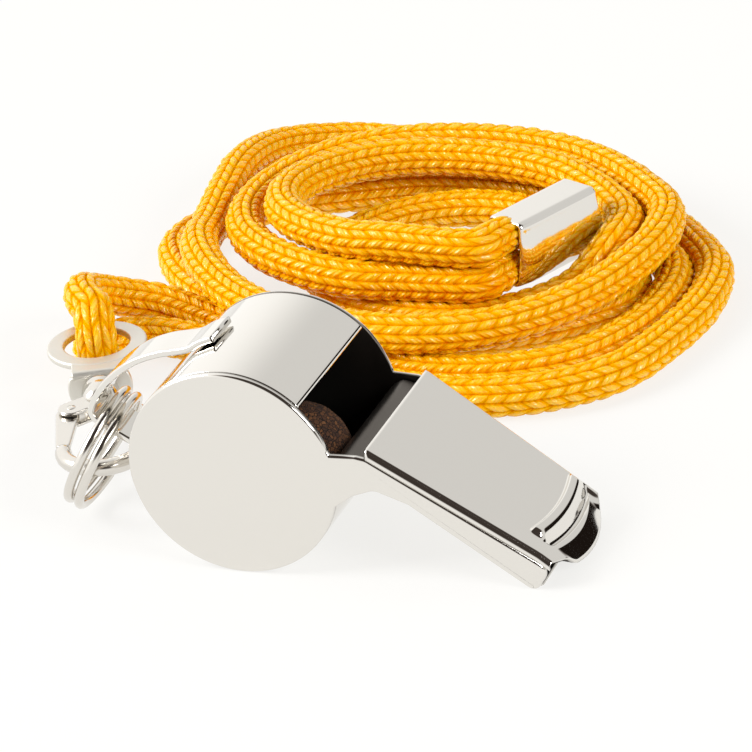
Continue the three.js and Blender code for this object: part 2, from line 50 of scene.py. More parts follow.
def finish_mesh(name, verts, faces, body, material, nodes=(), values=None):
    """Makes one smooth object from points in mm and a list of faces, turned outwards, and declares what it
    rides on and replaces. values holds named numbers for each point."""
    verts = np.asarray(verts, float)
    faces = outward(verts, faces)
    mesh = bpy.data.meshes.new(name)
    mesh.from_pydata(((verts - ORIGIN) * MM).tolist(), [], faces)
    mesh.polygons.foreach_set("use_smooth", [True] * len(mesh.polygons))
    mesh.materials.append(material)
    for key, numbers in (values or {}).items():
        attribute = mesh.attributes.new(key, "FLOAT", "POINT")
        attribute.data.foreach_set("value", np.asarray(numbers, float).ravel())
    piece = bpy.data.objects.new(name, mesh)
    bpy.context.collection.objects.link(piece)
    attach(piece, body)
    if nodes:
        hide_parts(*nodes)
    return piece


def outward(verts, faces):
    """The same faces, all turned round if the closed shape's signed volume is negative. The volume is the sum
    over each face's fan of a . (b x c) / 6."""
    volume = 0.0
    for size in {len(face) for face in faces}:
        ring = verts[np.array([face for face in faces if len(face) == size])]
        for k in range(1, size - 1):
            volume += np.einsum("ij,ij->", ring[:, 0], np.cross(ring[:, k], ring[:, k + 1]))
    return faces if volume > 0 else [face[::-1] for face in faces]


def grid_faces(rows, columns, wrap_rows=False, wrap_columns=False, start=0):
    """Quads of a grid of points, row by row; a wrapped direction joins its last line to its first."""
    i = np.arange(rows if wrap_rows else rows - 1)
    j = np.arange(columns if wrap_columns else columns - 1)
    i, j = np.meshgrid(i, j, indexing="ij")
    down, right = (i + 1) % rows, (j + 1) % columns
    quads = np.stack([i * columns + j, i * columns + right, down * columns + right, down * columns + j], -1)
    return (quads.reshape(-1, 4) + start).tolist()


def tube_faces(rows, columns, start=0):
    """Quads of a closed tube, row by row, with a face over each end."""
    first = list(range(start + columns - 1, start - 1, -1))
    last = list(range(start + (rows - 1) * columns, start + rows * columns))
    return grid_faces(rows, columns, wrap_columns=True, start=start) + [first, last]


def gather(*solids):
    """Several solids, each a pair of points and faces, as one pair."""
    verts, faces = [], []
    for points, own in solids:
        start = sum(len(v) for v in verts)
        points = np.asarray(points, float).reshape(-1, 3)
        own = outward(points, own)
        verts.append(points)
        faces += [[k + start for k in face] for face in own]
    return np.vstack(verts), faces


def along(points):
    """Distance of each point along the line."""
    return np.concatenate([[0], np.cumsum(np.linalg.norm(np.diff(points, axis=0), axis=1))])


def smooth_curve(points, per_span):
    """A centripetal Catmull-Rom curve through the points, as part.mjs draws it."""
    p = np.asarray(points, float)
    p = np.vstack([2 * p[0] - p[1], p, 2 * p[-1] - p[-2]])
    out = []
    t = np.linspace(0, 1, per_span, endpoint=False)[:, None]
    for a, b, c, d in zip(p, p[1:], p[2:], p[3:]):
        ab, bc, cd = (np.sqrt(np.linalg.norm(q)) for q in (b - a, c - b, d - c))
        into = bc * ((b - a) / ab - (c - a) / (ab + bc) + (c - b) / bc)
        leave = bc * ((c - b) / bc - (d - b) / (bc + cd) + (d - c) / cd)
        out.append(b + into * t + (3 * (c - b) - 2 * into - leave) * t**2 + (2 * (b - c) + into + leave) * t**3)
    return np.vstack(out + [p[-2:-1]])


def resample(points, step):
    """The same line with evenly spaced points about step apart."""
    s = along(points)
    even = np.linspace(0, s[-1], max(2, int(round(s[-1] / step)) + 1))
    return np.stack([np.interp(even, s, points[:, k]) for k in range(points.shape[1])], 1)


def frames(points, first=(0, 0, 1)):
    """Tangent, side and across vectors along a line, turned with the least twist."""
    tangent = np.gradient(points, axis=0)
    tangent /= np.linalg.norm(tangent, axis=1)[:, None]
    side = np.empty_like(tangent)
    now = np.asarray(first, float)
    for k, t in enumerate(tangent):
        now = now - t * now.dot(t)
        now /= np.linalg.norm(now)
        side[k] = now
    return tangent, side, np.cross(tangent, side)


# Half the angle at a corner, in radians, past which it counts as straight
NEARLY_STRAIGHT = 1.55


def round_corners(corners, radius, steps=6):
    """A line in a plane with each inner corner turned into an arc of the given radius, smaller where a side
    is too short for it."""
    corners = np.asarray(corners, float)
    out = [corners[:1]]
    for a, b, c in zip(corners, corners[1:], corners[2:]):
        to_a, to_c = (a - b), (c - b)
        size_a, size_c = np.linalg.norm(to_a), np.linalg.norm(to_c)
        to_a, to_c = to_a / size_a, to_c / size_c
        half = np.arccos(np.clip(to_a @ to_c, -1, 1)) / 2
        if half > NEARLY_STRAIGHT:
            out.append(b[None])
            continue
        reach = min(radius / np.tan(half), 0.49 * size_a, 0.49 * size_c)
        middle = (to_a + to_c) / np.linalg.norm(to_a + to_c)
        centre = b + middle * reach / np.cos(half)
        start, end = b + to_a * reach - centre, b + to_c * reach - centre
        size = np.linalg.norm(start)
        turn = np.arctan2(start[0] * end[1] - start[1] * end[0], start @ end)
        t = np.linspace(0, turn, steps + 1)
        side = np.array([-start[1], start[0]])
        out.append(centre + start * np.cos(t)[:, None] + side * np.sin(t)[:, None] if size > 1e-6 else b[None])
    return np.vstack(out + [corners[-1:]])


def arc(centre, radius, from_angle, to_angle, step=3.0):
    """Points of an arc in a plane, its angles in degrees."""
    count = max(2, int(np.ceil(abs(to_angle - from_angle) / step)) + 1)
    t = np.radians(np.linspace(from_angle, to_angle, count))
    return np.stack([centre[0] + radius * np.cos(t), centre[1] + radius * np.sin(t)], 1)


def normals_2d(line, closed=False):
    """The unit vector to the left of travel at each point of a line in a plane."""
    if closed:
        way = np.roll(line, -1, axis=0) - np.roll(line, 1, axis=0)
    else:
        way = np.gradient(line, axis=0)
    way /= np.linalg.norm(way, axis=1)[:, None]
    return np.stack([-way[:, 1], way[:, 0]], 1)


def bar_section(half, low, high, rim, steps=3):
    """The closed outline of a bar with rounded edges, as pairs of distance across and height, with a point
    just inside each rounding that keeps the faces flat. half is a number or an array, one outline for each
    of its values."""
    half = np.atleast_1d(np.asarray(half, float))[:, None]
    t = np.linspace(0, np.pi / 2, steps + 1)
    flat = 1.6 * rim
    arcs = []
    for quarter, (sx, top) in enumerate(((1, False), (1, True), (-1, True), (-1, False))):
        turn = t + (quarter - 1) * np.pi / 2
        across = sx * (half - rim) + rim * np.cos(turn)[None, :]
        height = (high - rim if top else low + rim) + rim * np.sin(turn)[None, :] + 0 * half
        corner = np.stack([across, height], -1)
        inner = np.stack([sx * (half - flat), (high if top else low) + 0 * half], -1)
        arcs += [corner, inner] if quarter % 2 else [inner, corner]
    return np.concatenate(arcs, axis=1)


def carried(path, section, place):
    """A bar carried along a path in a plane: point = path + height * left normal, and the distance across
    goes along the third axis. section has one outline, or one for each point of the path."""
    path = np.asarray(path, float)
    section = np.broadcast_to(section, (len(path), section.shape[1], 2))
    flat = path[:, None] + normals_2d(path)[:, None] * section[..., 1:2]
    return place(flat[..., 0], section[..., 0], flat[..., 1]), tube_faces(len(path), section.shape[1])


def in_whistle(u, v, w):
    """A point of the whistle from its x, its y and its z."""
    return np.stack([u, v + 0 * u, w + 0 * u], -1)


def plate(outline, low, high, rim, place, split=None, steps=3, low_rim=None):
    """A flat plate from a closed outline: the rim's profile carried round it, each ring of points moved
    inwards and up by a quarter circle, with a flat face on both sides that starts a little inside the rim.
    place maps across, up and height to a point. split cuts the flat faces along one value of the first
    coordinate."""
    low_rim = low_rim or rim
    outline = np.asarray(outline, float)
    inward = normals_2d(outline, closed=True)
    if np.sum(outline[:, 0] * np.roll(outline[:, 1], -1) - outline[:, 1] * np.roll(outline[:, 0], -1)) < 0:
        inward = -inward
    t = np.linspace(0, np.pi / 2, steps + 1)
    inset = np.concatenate([[1.4 * low_rim], low_rim * (1 - np.sin(t)), rim * (1 - np.cos(t)), [1.3 * rim]])
    height = np.concatenate([[low], low + low_rim * (1 - np.cos(t)), high - rim * (1 - np.sin(t)), [high]])
    rings = outline[None] + inward[None] * inset[:, None, None]
    points = place(rings[..., 0], rings[..., 1], height[:, None] + 0 * rings[..., 0])
    rows, columns = rings.shape[:2]
    faces = grid_faces(rows, columns, wrap_columns=True)
    for row in (0, rows - 1):
        faces += flat_faces(rings[row], row * columns, split, turned=row == 0)
    return points.reshape(-1, 3), faces


def flat_faces(ring, start, split, turned):
    """The face over a ring of points, or the two faces on either side of the split line."""
    index = np.arange(len(ring)) + start
    halves = [index]
    if split is not None:
        after = ring[:, 0] > split
        first = int(np.argmax(after & ~np.roll(after, 1)))
        index, after = np.roll(index, -first), np.roll(after, -first)
        count = int(np.argmin(after))
        halves = [np.r_[index[-1], index[:count], index[count]], index[count:]]
    return [list(map(int, half[::-1] if turned else half)) for half in halves]


def lathe(profile, start, axis, side, sides=32):
    """A profile of pairs of distance along the axis and radius, turned round it."""
    profile = np.asarray(profile, float)
    axis, side = np.asarray(axis, float), np.asarray(side, float)
    up = np.cross(axis, side)
    angle = TAU * np.arange(sides) / sides
    round_axis = side * np.cos(angle)[:, None] + up * np.sin(angle)[:, None]
    points = np.asarray(start) + axis * profile[:, None, :1] + round_axis[None] * profile[:, None, 1:]
    return points.reshape(-1, 3), tube_faces(len(profile), sides)


CAP_ANGLE = 1.45


def wire(line, across_radius, up_radius, first=(0, 0, 1), sides=16, cap=3):
    """A wire along a line with an oval section and rounded ends: point = line + side * a * cos + across * b *
    sin, with the last rows drawn in along a quarter circle that stops just short of its pole."""
    tangent, side, across = frames(line, first)
    angle = TAU * np.arange(sides) / sides
    t = np.linspace(CAP_ANGLE, 0, cap, endpoint=False)[:, None]
    reach = min(across_radius, up_radius) * np.sin(t)
    line = np.vstack([line[:1] - tangent[:1] * reach, line, line[-1:] + tangent[-1:] * reach[::-1]])
    scale = np.concatenate([np.cos(t)[:, 0], np.ones(len(side)), np.cos(t)[::-1, 0]])
    side = np.vstack([np.repeat(side[:1], cap, 0), side, np.repeat(side[-1:], cap, 0)])
    across = np.vstack([np.repeat(across[:1], cap, 0), across, np.repeat(across[-1:], cap, 0)])
    ring = side[:, None] * (up_radius * np.cos(angle))[None, :, None]
    ring = ring + across[:, None] * (across_radius * np.sin(angle))[None, :, None]
    points = line[:, None] + ring * scale[:, None, None]
    return points.reshape(-1, 3), tube_faces(len(line), sides)


# Materials

def srgb(code):
    """A linear colour from an sRGB hex code."""
    parts = np.array([int(code[k:k + 2], 16) / 255 for k in (0, 2, 4)])
    linear = np.where(parts <= 0.04045, parts / 12.92, ((parts + 0.055) / 1.055) ** 2.4)
    return (*linear.tolist(), 1.0)


def per_metre(size_mm):
    """The scale of a pattern on Object coordinates whose features are size_mm apart."""
    return 1000 / size_mm


def add_node(tree, kind, links=(), **values):
    """Adds a node; links are (input, output socket), values are settings or named inputs."""
    node = tree.nodes.new(kind)
    for key, value in values.items():
        if hasattr(node, key):
            setattr(node, key, value)
        else:
            node.inputs[key.replace("_", " ")].default_value = value
    for socket, source in links:
        tree.links.new(source, node.inputs[socket])
    return node


class Shader:
    """A material with one Principled shader and the nodes that feed it."""

    def __init__(self, name):
        self.material = bpy.data.materials.new(name)
        self.material.use_nodes = True
        self.tree = self.material.node_tree
        self.main = self.tree.nodes["Principled BSDF"]

    def add(self, kind, links=(), **values):
        return add_node(self.tree, kind, links, **values)

    def set(self, **values):
        for key, value in values.items():
            self.main.inputs[key.replace("_", " ")].default_value = value

    def link(self, source, socket):
        self.tree.links.new(source, self.main.inputs[socket])

    def ramp(self, source, *stops):
        """A colour ramp over source; stops are (position, hex colour)."""
        node = self.add("ShaderNodeValToRGB", [("Fac", source)])
        elements = node.color_ramp.elements
        while len(elements) < len(stops):
            elements.new(0.5)
        for element, (position, code) in zip(elements, stops):
            element.position, element.color = position, srgb(code)
        return node.outputs["Color"]

    def bump(self, source, height_mm):
        """Relief of the given height in mm."""
        node = self.add("ShaderNodeBump", [("Height", source)], Strength=1.0, Distance=height_mm * MM)
        self.link(node.outputs["Normal"], "Normal")

    def place(self):
        """The point on the piece, in metres."""
        return self.add("ShaderNodeTexCoord").outputs["Object"]


# The inner face's darker colour, which is painted shade, and its dull roughness, and the rubbing marks'
# spacing and how far they vary the roughness
INNER_SHADE_COLOUR, INNER_ROUGHNESS = "6A655F", 0.42
MARKS_MM, LEAST_MARKED, MOST_MARKED = 2.2, 0.8, 1.25


def nickel(name, colour, roughness, wave_mm, wave_height):
    """Nickel plate on brass: stamped sheet is never quite flat, so its reflections bend a little, and fine
    rubbing marks vary the gloss. Points with inside = 1 are the dull inner face, darker in colour as painted
    shade."""
    s = Shader(name)
    place = s.place()
    inside = s.add("ShaderNodeAttribute", attribute_name="inside").outputs["Fac"]
    marks = s.add("ShaderNodeTexNoise", [("Vector", place)], Scale=per_metre(MARKS_MM), Detail=4.0).outputs["Fac"]
    # Inner faces take a darker colour: painted shade of the whistle's inside
    tint = s.add("ShaderNodeMix", [("Factor", inside)], data_type="RGBA")
    tint.inputs["A"].default_value, tint.inputs["B"].default_value = srgb(colour), srgb(INNER_SHADE_COLOUR)
    s.link(tint.outputs["Result"], "Base Color")
    gloss = s.add("ShaderNodeMapRange", [("Value", marks)], To_Min=roughness * LEAST_MARKED,
                  To_Max=roughness * MOST_MARKED)
    dull = s.add("ShaderNodeMix", [("Factor", inside), ("A", gloss.outputs["Result"])], B=INNER_ROUGHNESS)
    s.link(dull.outputs["Result"], "Roughness")
    wave = s.add("ShaderNodeTexNoise", [("Vector", place)], Scale=per_metre(wave_mm), Detail=1.0)
    s.bump(wave.outputs["Fac"], wave_height)
    s.set(Metallic=1.0)
    return s.material


# The grains' size, the share of it that is a joint, the finest pits' spacing and the relief's depth
GRAIN_MM, JOINT_SHARE, PIT_MM, PIT_DEPTH_MM = 0.4, 0.09, 0.5, 0.12


def cork():
    """Finely ground cork pressed into a ball: brown grains 0.4 mm across with dark joints between them, dry
    and matt."""
    s = Shader("pressed_cork")
    place = s.place()
    grain = s.add("ShaderNodeTexVoronoi", [("Vector", place)], Scale=per_metre(GRAIN_MM))
    tone = s.add("ShaderNodeSeparateColor", [("Color", grain.outputs["Color"])]).outputs["Red"]
    colour = s.ramp(tone, (0.0, "341D0F"), (0.5, "4E2E17"), (1.0, "6B4424"))
    joint = s.add("ShaderNodeTexVoronoi", [("Vector", place)], feature="DISTANCE_TO_EDGE",
                  Scale=per_metre(GRAIN_MM))
    line = s.add("ShaderNodeMapRange", [("Value", joint.outputs["Distance"])], From_Max=JOINT_SHARE)
    mix = s.add("ShaderNodeMix", [("Factor", line.outputs["Result"]), ("B", colour)], data_type="RGBA")
    mix.inputs["A"].default_value = srgb("24150C")
    s.link(mix.outputs["Result"], "Base Color")
    fine = s.add("ShaderNodeTexNoise", [("Vector", place)], Scale=per_metre(PIT_MM), Detail=5.0)
    both = s.add("ShaderNodeMath", [(0, line.outputs["Result"]), (1, fine.outputs["Fac"])], operation="ADD")
    s.bump(both.outputs["Value"], PIT_DEPTH_MM)
    s.set(Roughness=0.9)
    return s.material


# The filament bundles drawn on each stitch, their relief, and how deep light goes into the yarn
FILAMENTS, FILAMENT_MM, GLOW_MM = 3, 0.035, 1.2


def knitted_polyester():
    """Chain-knitted polyester yarn, dyed golden yellow, with satin stitches. Its colour follows the stitches'
    height as painted shade and highlight: deep orange down in the grooves, lighter yellow on the crowns. The
    yarn's filaments run along each leg, drawn a few to a leg so that they show."""
    s = Shader("knitted_polyester")
    crown = s.add("ShaderNodeAttribute", attribute_name="crown").outputs["Fac"]
    stitch = s.add("ShaderNodeAttribute", attribute_name="stitch").outputs["Fac"]
    # Painted shade and highlight: the colour darkens to deep orange in the grooves and lightens on the crowns
    colour = s.ramp(crown, (0.0, "D06600"), (0.3, "E68E00"), (0.62, "EEA800"), (1.0, "F6BC08"))
    s.link(colour, "Base Color")
    turns = s.add("ShaderNodeMath", [(0, stitch)], operation="MULTIPLY")
    turns.inputs[1].default_value = TAU * FILAMENTS
    ply = s.add("ShaderNodeMath", [(0, turns.outputs["Value"])], operation="SINE")
    s.bump(ply.outputs["Value"], FILAMENT_MM)
    shine = s.add("ShaderNodeMapRange", [("Value", crown)], From_Min=0.6, To_Min=0.0, To_Max=0.8)
    s.link(shine.outputs["Result"], "Specular IOR Level")
    s.set(Roughness=0.27, Subsurface_Weight=0.3, Subsurface_Scale=GLOW_MM * MM)
    s.main.inputs["Subsurface Radius"].default_value = (1.0, 0.35, 0.05)
    return s.material


# Polished plate of the whistle and the crimp
NICKEL = nickel("bright_nickel", "E4E1DB", 0.07, 7.0, 0.010)
# Drawn wire of the ring and hook, plated in a barrel, so a little softer
WIRE = nickel("plated_wire", "DDD9D2", 0.16, 2.0, 0.006)
# The stamped swivel eye has a satin plate
SATIN = nickel("satin_nickel", "DEDBD3", 0.46, 3.0, 0.006)
CORK = cork()
KNIT = knitted_polyester()


# Camera

CAMERA_AT = np.array([155.945, -335.173, 196.471])
CAMERA_RIGHT = (0.93245, 0.34732, -0.09956)
CAMERA_UP = (-0.07106, 0.44646, 0.89198)
CAMERA_BACK = (0.35425, -0.82465, 0.44098)
FOCAL_PIXELS, PICTURE_PIXELS, SENSOR_MM = 4322.5, 752, 36


def make_camera():
    """The photograph's camera: a long lens from the front right, a little above."""
    data = bpy.data.cameras.new("camera")
    data.sensor_width = SENSOR_MM
    data.lens = FOCAL_PIXELS / PICTURE_PIXELS * SENSOR_MM
    data.clip_start, data.clip_end = 0.01, 10
    camera = bpy.data.objects.new("camera", data)
    bpy.context.collection.objects.link(camera)
    turn = Matrix((CAMERA_RIGHT, CAMERA_UP, CAMERA_BACK)).transposed().to_4x4()
    turn.translation = (CAMERA_AT - ORIGIN) * MM
    camera.matrix_world = turn
    bpy.context.scene.camera = camera


make_camera()

# Cord

CORD = 3.8
# The winding's middle, the turn between its points in degrees, and the points to each span of a curve
COIL_CENTRE = np.array([-3.0, 55.0])
COIL_STEP, SPAN_POINTS = 15, 12
# The middle line of the cord may lie no lower than half its thickness and this much
TABLE_GAP = 0.05
CRIMP_CENTRE = np.array([10.4, 52.6, 7.8])
CRIMP_TURN = np.radians(65)
CRIMP_LENGTH, CRIMP_THICK, CRIMP_HEIGHT = 11.4, 4.8, 7.2
MOUTH_GAP = 0.3
# The heights at which the two strands come out of the crimp
MOUTH_A, MOUTH_B = 9.8, 5.9
HUB = np.array([-25.93, 17.33, 4.35])
HOOK_TURN = np.radians(-65)
HOOK = np.array([np.cos(HOOK_TURN), np.sin(HOOK_TURN), 0.0])
ACROSS = np.array([-HOOK[1], HOOK[0], 0.0])
EYE = {"back": 6.4, "outer": 5.2, "inner": 3.4, "sheet": 0.7, "height": 5.6}
LEAD_BEND = {"reach": 9.8, "radius": 2.6}

# Each row: the turn in degrees, the reach from the coil's centre, the height
COIL_A = [
    [5, 11.6, 10.0], [45, 12.9, 9.4], [90, 17.0, 8.8], [135, 18.3, 7.4], [180, 17.6, 6.5], [225, 18.2, 6.3],
    [240, 19.0, 6.3], [256, 20.4, 6.3], [270, 20.5, 6.5], [288, 18.7, 3.4], [315, 15.3, 1.9], [360, 12.6, 1.9],
    [405, 12.4, 2.0], [450, 12.6, 2.0], [495, 13.5, 2.0], [540, 14.5, 2.0], [580, 15.6, 2.0], [600, 16.9, 2.1],
    [616, 19.1, 2.0], [630, 21.8, 1.9], [640, 23.5, 2.0], [648, 23.3, 1.9], [675, 20.1, 2.0], [720, 17.3, 2.0],
    [765, 20.5, 2.0], [787, 25.3, 2.0], [810, 30.3, 2.0], [830, 28.4, 2.0], [855, 22.9, 2.0], [900, 19.3, 2.0],
    [940, 20.1, 2.0], [960, 21.4, 2.0], [976, 24.0, 2.0], [990, 26.5, 2.1], [1008, 28.0, 2.0], [1035, 29.7, 2.1],
    [1065, 25.8, 1.9], [1085, 22.8, 1.9], [1108, 23.2, 2.0],
]
COIL_B = [
    [0, 12.3, 5.9], [45, 16.6, 6.7], [90, 21.6, 6.7], [135, 22.7, 6.9], [180, 21.9, 6.5], [225, 22.4, 6.4],
    [240, 23.3, 6.4], [256, 24.9, 6.4], [275, 24.6, 6.4], [300, 24.1, 5.6], [330, 25.0, 5.7], [360, 25.0, 6.3],
    [405, 24.4, 6.2], [427, 25.2, 6.5], [450, 26.0, 5.3], [470, 28.8, 6.4], [485, 34.0, 5.0], [500, 37.2, 2.6],
    [511, 34.8, 2.0], [522, 30.9, 2.0], [545, 27.6, 2.0], [570, 24.8, 2.0], [600, 25.6, 2.0], [616, 28.4, 2.0],
    [630, 31.0, 2.0], [648, 32.1, 2.0], [675, 34.9, 2.0], [700, 31.5, 2.0], [722, 27.3, 2.0], [744, 27.1, 2.0],
]


def row_value(rows, turn, column):
    """A smooth value between rows, by a cubic through the neighbouring rows."""
    rows = np.asarray(rows, float)
    i = int(np.clip(np.searchsorted(rows[:, 0], turn, "right") - 1, 0, len(rows) - 2))

    def slope(k):
        a, b = rows[max(0, k - 1)], rows[min(len(rows) - 1, k + 1)]
        return (b[column] - a[column]) / (b[0] - a[0])

    span = rows[i + 1, 0] - rows[i, 0]
    u = (turn - rows[i, 0]) / span
    bend = u * (1 - u) ** 2 * span * slope(i) + u * u * (u - 1) * span * slope(i + 1)
    return rows[i, column] + (rows[i + 1, column] - rows[i, column]) * u * u * (3 - 2 * u) + bend


def coil_strand(rows, height):
    """A wound strand: straight out of the crimp's mouth, then round the coil."""
    crimp_way = np.array([np.cos(CRIMP_TURN), np.sin(CRIMP_TURN)])
    points = []
    for out in (0, CORD * 0.5, CORD):
        x, y = CRIMP_CENTRE[:2] - crimp_way * (CRIMP_LENGTH / 2 + MOUTH_GAP + out)
        points.append((x, y, height))
    first, last = rows[0][0], rows[-1][0]
    for turn in np.linspace(first, last, int(round((last - first) / COIL_STEP)) + 1):
        angle = np.radians(270 - turn)
        x, y = COIL_CENTRE + row_value(rows, turn, 1) * np.array([np.cos(angle), np.sin(angle)])
        points.append((x, y, max(CORD / 2 + TABLE_GAP, row_value(rows, turn, 2))))
    return np.array(points)


# The free stretch from one wound strand, through the eye and back to the other
LEAD_OUT = [
    [-14.0, 34.5, 2.0], [-18.0, 36.0, 2.0], [-23.0, 37.9, 2.3], [-28.0, 38.5, 3.4], [-32.3, 36.4, 5.0],
    [-33.7, 32.9, 7.0], [-32.9, 30.0, 8.3], [-31.6, 27.7, 8.6],
]
LEAD_BACK = [
    [-31.8, 28.2, 3.1], [-31.6, 30.6, 2.6], [-29.4, 32.9, 2.1], [-25.5, 33.6, 2.0], [-20.0, 32.2, 2.0],
    [-14.0, 30.2, 2.0],
]


def lead_points():
    """The free stretch: out over the eye's far bar, down through the eye, back under it."""
    centre = HUB - HOOK * LEAD_BEND["reach"]
    centre[2] = EYE["height"] + EYE["sheet"] / 2
    angles = np.radians([80, 50, 20, -10, -40, -70])[:, None]
    bend = centre + LEAD_BEND["radius"] * (HOOK * np.cos(angles) + Z * np.sin(angles))
    return np.vstack([LEAD_OUT, bend, LEAD_BACK])


# The knit: the stitches' length, the columns round the cord, points across a column and along a stitch, how
# far a leg leans along the cord, and the radii at the grooves and at the stitches' crowns
STITCH, WALES, COLUMN_POINTS, STITCH_POINTS, LEAN = 1.8, 6, 10, 7, 0.62
GROOVE_RADIUS, CROWN_RADIUS = 1.70, 2.16
# What is left of a leg's height at its ends, the roundness of its section across and along, and how uneven
# the stitches are
LEG_ENDS, LEG_ACROSS, LEG_ALONG, UNEVEN = 0.24, 2.6, 2.4, 0.10
# Each cord end runs on into the crimp's mouth, pressed smaller there and towards the crimp's middle
TUCK, TUCK_SCALE, TUCK_IN = 1.6, 0.78, 0.25


def knit_crown(leg, phase):
    """Height of the stitches from 0 to 1. Across a column, leg goes from 0 at the V's tip to 1 at the edge,
    where the next column starts. Each leg is a plump oval: (1 - |2 leg - 1|^2.6)^0.5 across it, with a little
    left at its ends, times (1 - |2 phase - 1|^2.4)^0.5 along the cord."""
    oval = np.sqrt(np.maximum(0, 1 - np.abs(2 * leg - 1) ** LEG_ACROSS))
    across = LEG_ENDS + (1 - LEG_ENDS) * oval
    section = np.sqrt(np.maximum(0, 1 - np.abs(2 * phase - 1) ** LEG_ALONG))
    return across[None, :] * section


def knit_surface(line, side, across, s):
    """The knitted tube: each row of points has one phase of the stitch, so row k lies at s minus the lean of
    its leg, and every column of points slides along the line by that much. Where the tube meets the table it
    lies flat on it."""
    around = np.arange(WALES * COLUMN_POINTS) / COLUMN_POINTS
    leg = np.abs(around % 1 - 0.5) * 2
    wale = np.floor(around).astype(int)
    slide = STITCH * LEAN * leg
    at = np.clip(s[:, None] - slide[None, :], 0, s[-1])
    phase = (np.arange(len(s)) % STITCH_POINTS + 0.5) / STITCH_POINTS
    row = np.arange(len(s)) // STITCH_POINTS
    waves = np.sin(row[:, None] * 2.4 + wale[None, :] * 1.7) * np.sin(row[:, None] * 0.37)
    crown = knit_crown(leg, phase[:, None]) * (1 + UNEVEN * waves)
    end = np.minimum(at, s[-1] - at)
    radius = GROOVE_RADIUS + (CROWN_RADIUS - GROOVE_RADIUS) * crown
    radius = radius * (TUCK_SCALE + (1 - TUCK_SCALE) * np.clip(end / (2 * TUCK), 0, 1))
    angle = TAU * around / WALES

    def value(array):
        return np.stack([np.interp(at, s, array[:, k]) for k in range(3)], -1)

    ring = value(side) * np.cos(angle)[None, :, None] + value(across) * np.sin(angle)[None, :, None]
    points = value(line) + ring * radius[..., None]
    points[..., 2] = np.maximum(points[..., 2], 0)
    return points, crown


def cord_piece(name, node, lay, points, crown, stitch):
    """One declared stretch of the cord, cut from the whole knitted surface."""
    count, columns = crown.shape
    values = {"crown": crown, "stitch": np.repeat(stitch[:, None], columns, 1)}
    faces = tube_faces(count, columns)
    piece = finish_mesh(name, points.reshape(-1, 3), faces, "lanyard", KNIT, [node], values)


def tucked(strand):
    """A strand with one more point inside the crimp."""
    inside = strand[0] + (strand[0] - strand[1]) / np.linalg.norm(strand[0] - strand[1]) * (MOUTH_GAP + TUCK)
    inside[2] += TUCK_IN * (CRIMP_CENTRE[2] - inside[2])
    return np.vstack([inside, strand])


def make_cord():
    """The whole cord as one knitted tube, from the crimp round the coil, through the eye and back, cut into
    the CAD's three stretches."""
    strand_a = smooth_curve(tucked(coil_strand(COIL_A, MOUTH_A)), SPAN_POINTS)
    lead = smooth_curve(lead_points(), SPAN_POINTS)
    strand_b = smooth_curve(tucked(coil_strand(COIL_B, MOUTH_B)), SPAN_POINTS)[::-1]
    whole = resample(np.vstack([strand_a, lead[1:], strand_b[1:]]), STITCH / STITCH_POINTS)
    _, side, across = frames(whole)
    s = along(whole)
    points, crown = knit_surface(whole, side, across, s)
    stitch = np.arange(len(s)) / STITCH_POINTS
    ends = [along(strand_a)[-1], along(strand_a)[-1] + along(lead)[-1]]
    cuts = [0, *np.searchsorted(s, ends), len(s) - 1]
    named = (("knit_coil_a", "cord_coil_a", "coiled"), ("knit_lead", "cord_lead", "loose"),
             ("knit_coil_b", "cord_coil_b", "coiled"))
    for (name, node, lay), a, b in zip(named, cuts, cuts[1:]):
        rows = slice(a, b + 1)
        cord_piece(name, node, lay, points[rows], crown[rows], stitch[rows])


make_cord()


# Whistle body

SEAM, SHEET, BAND_SHEET = 0.2, 0.6, 0.4
BARREL_RADIUS, BARREL_WIDTH, TIP_WIDTH = 10.5, 18.4, 14.6
HALF_WIDTH = BARREL_WIDTH / 2
BEND_X, TIP_X = 8.0, 31.0
NARROWING = (BARREL_WIDTH - TIP_WIDTH) / 2 / (TIP_X - BEND_X)
LABIUM_ANGLE, NOTCH_ANGLE = 44.6, 345
ROOF_START, ROOF_END = np.array([13.66, 13.95]), np.array([30.78, 2.82])
ROOF_SLOPE = (ROOF_START[1] - ROOF_END[1]) / (ROOF_END[0] - ROOF_START[0])
ROOF_TILT = np.arctan(ROOF_SLOPE)
WINDOW_SILL, NOTCH = (12.67, 13.22), (12.0, 9.0)
ARM_PEAK, ARM_SHOULDER, HEEL_X = (14.07, 9.68), (17.25, 8.35), 28.3
FLOOR_SHEET, WINDWAY_HEIGHT, FLOOR_INNER_X, FLOOR_END_X = 0.4, 1.0, 13.0, 28.4
FLOOR_SHELF = {"x": 11.2, "rise": 0.35}
FLOOR_WALL = {"inset": 0.3, "from": 9, "to": -10}
AXIS = (0.0, BARREL_RADIUS)
# The radius of a bend in the arm's outline, and how round a plate's outer and inner edges are
ARM_BEND, PLATE_RIM, INNER_RIM = 1.3, 0.32, 0.08
# The share of a sheet's thickness past which a point counts as its inner face
INNER_FACE = 0.7


def roof_z(x):
    """The height of the flat roof at x."""
    return ROOF_START[1] - ROOF_SLOPE * (x - ROOF_START[0])


def under_roof(x, depth):
    """The height at x of a line that runs depth below the roof, square to it."""
    return roof_z(x) - depth / np.cos(ROOF_TILT)


def narrowing(x):
    """How far the arm's sides come inwards at x."""
    return NARROWING * np.maximum(0, x - BEND_X)


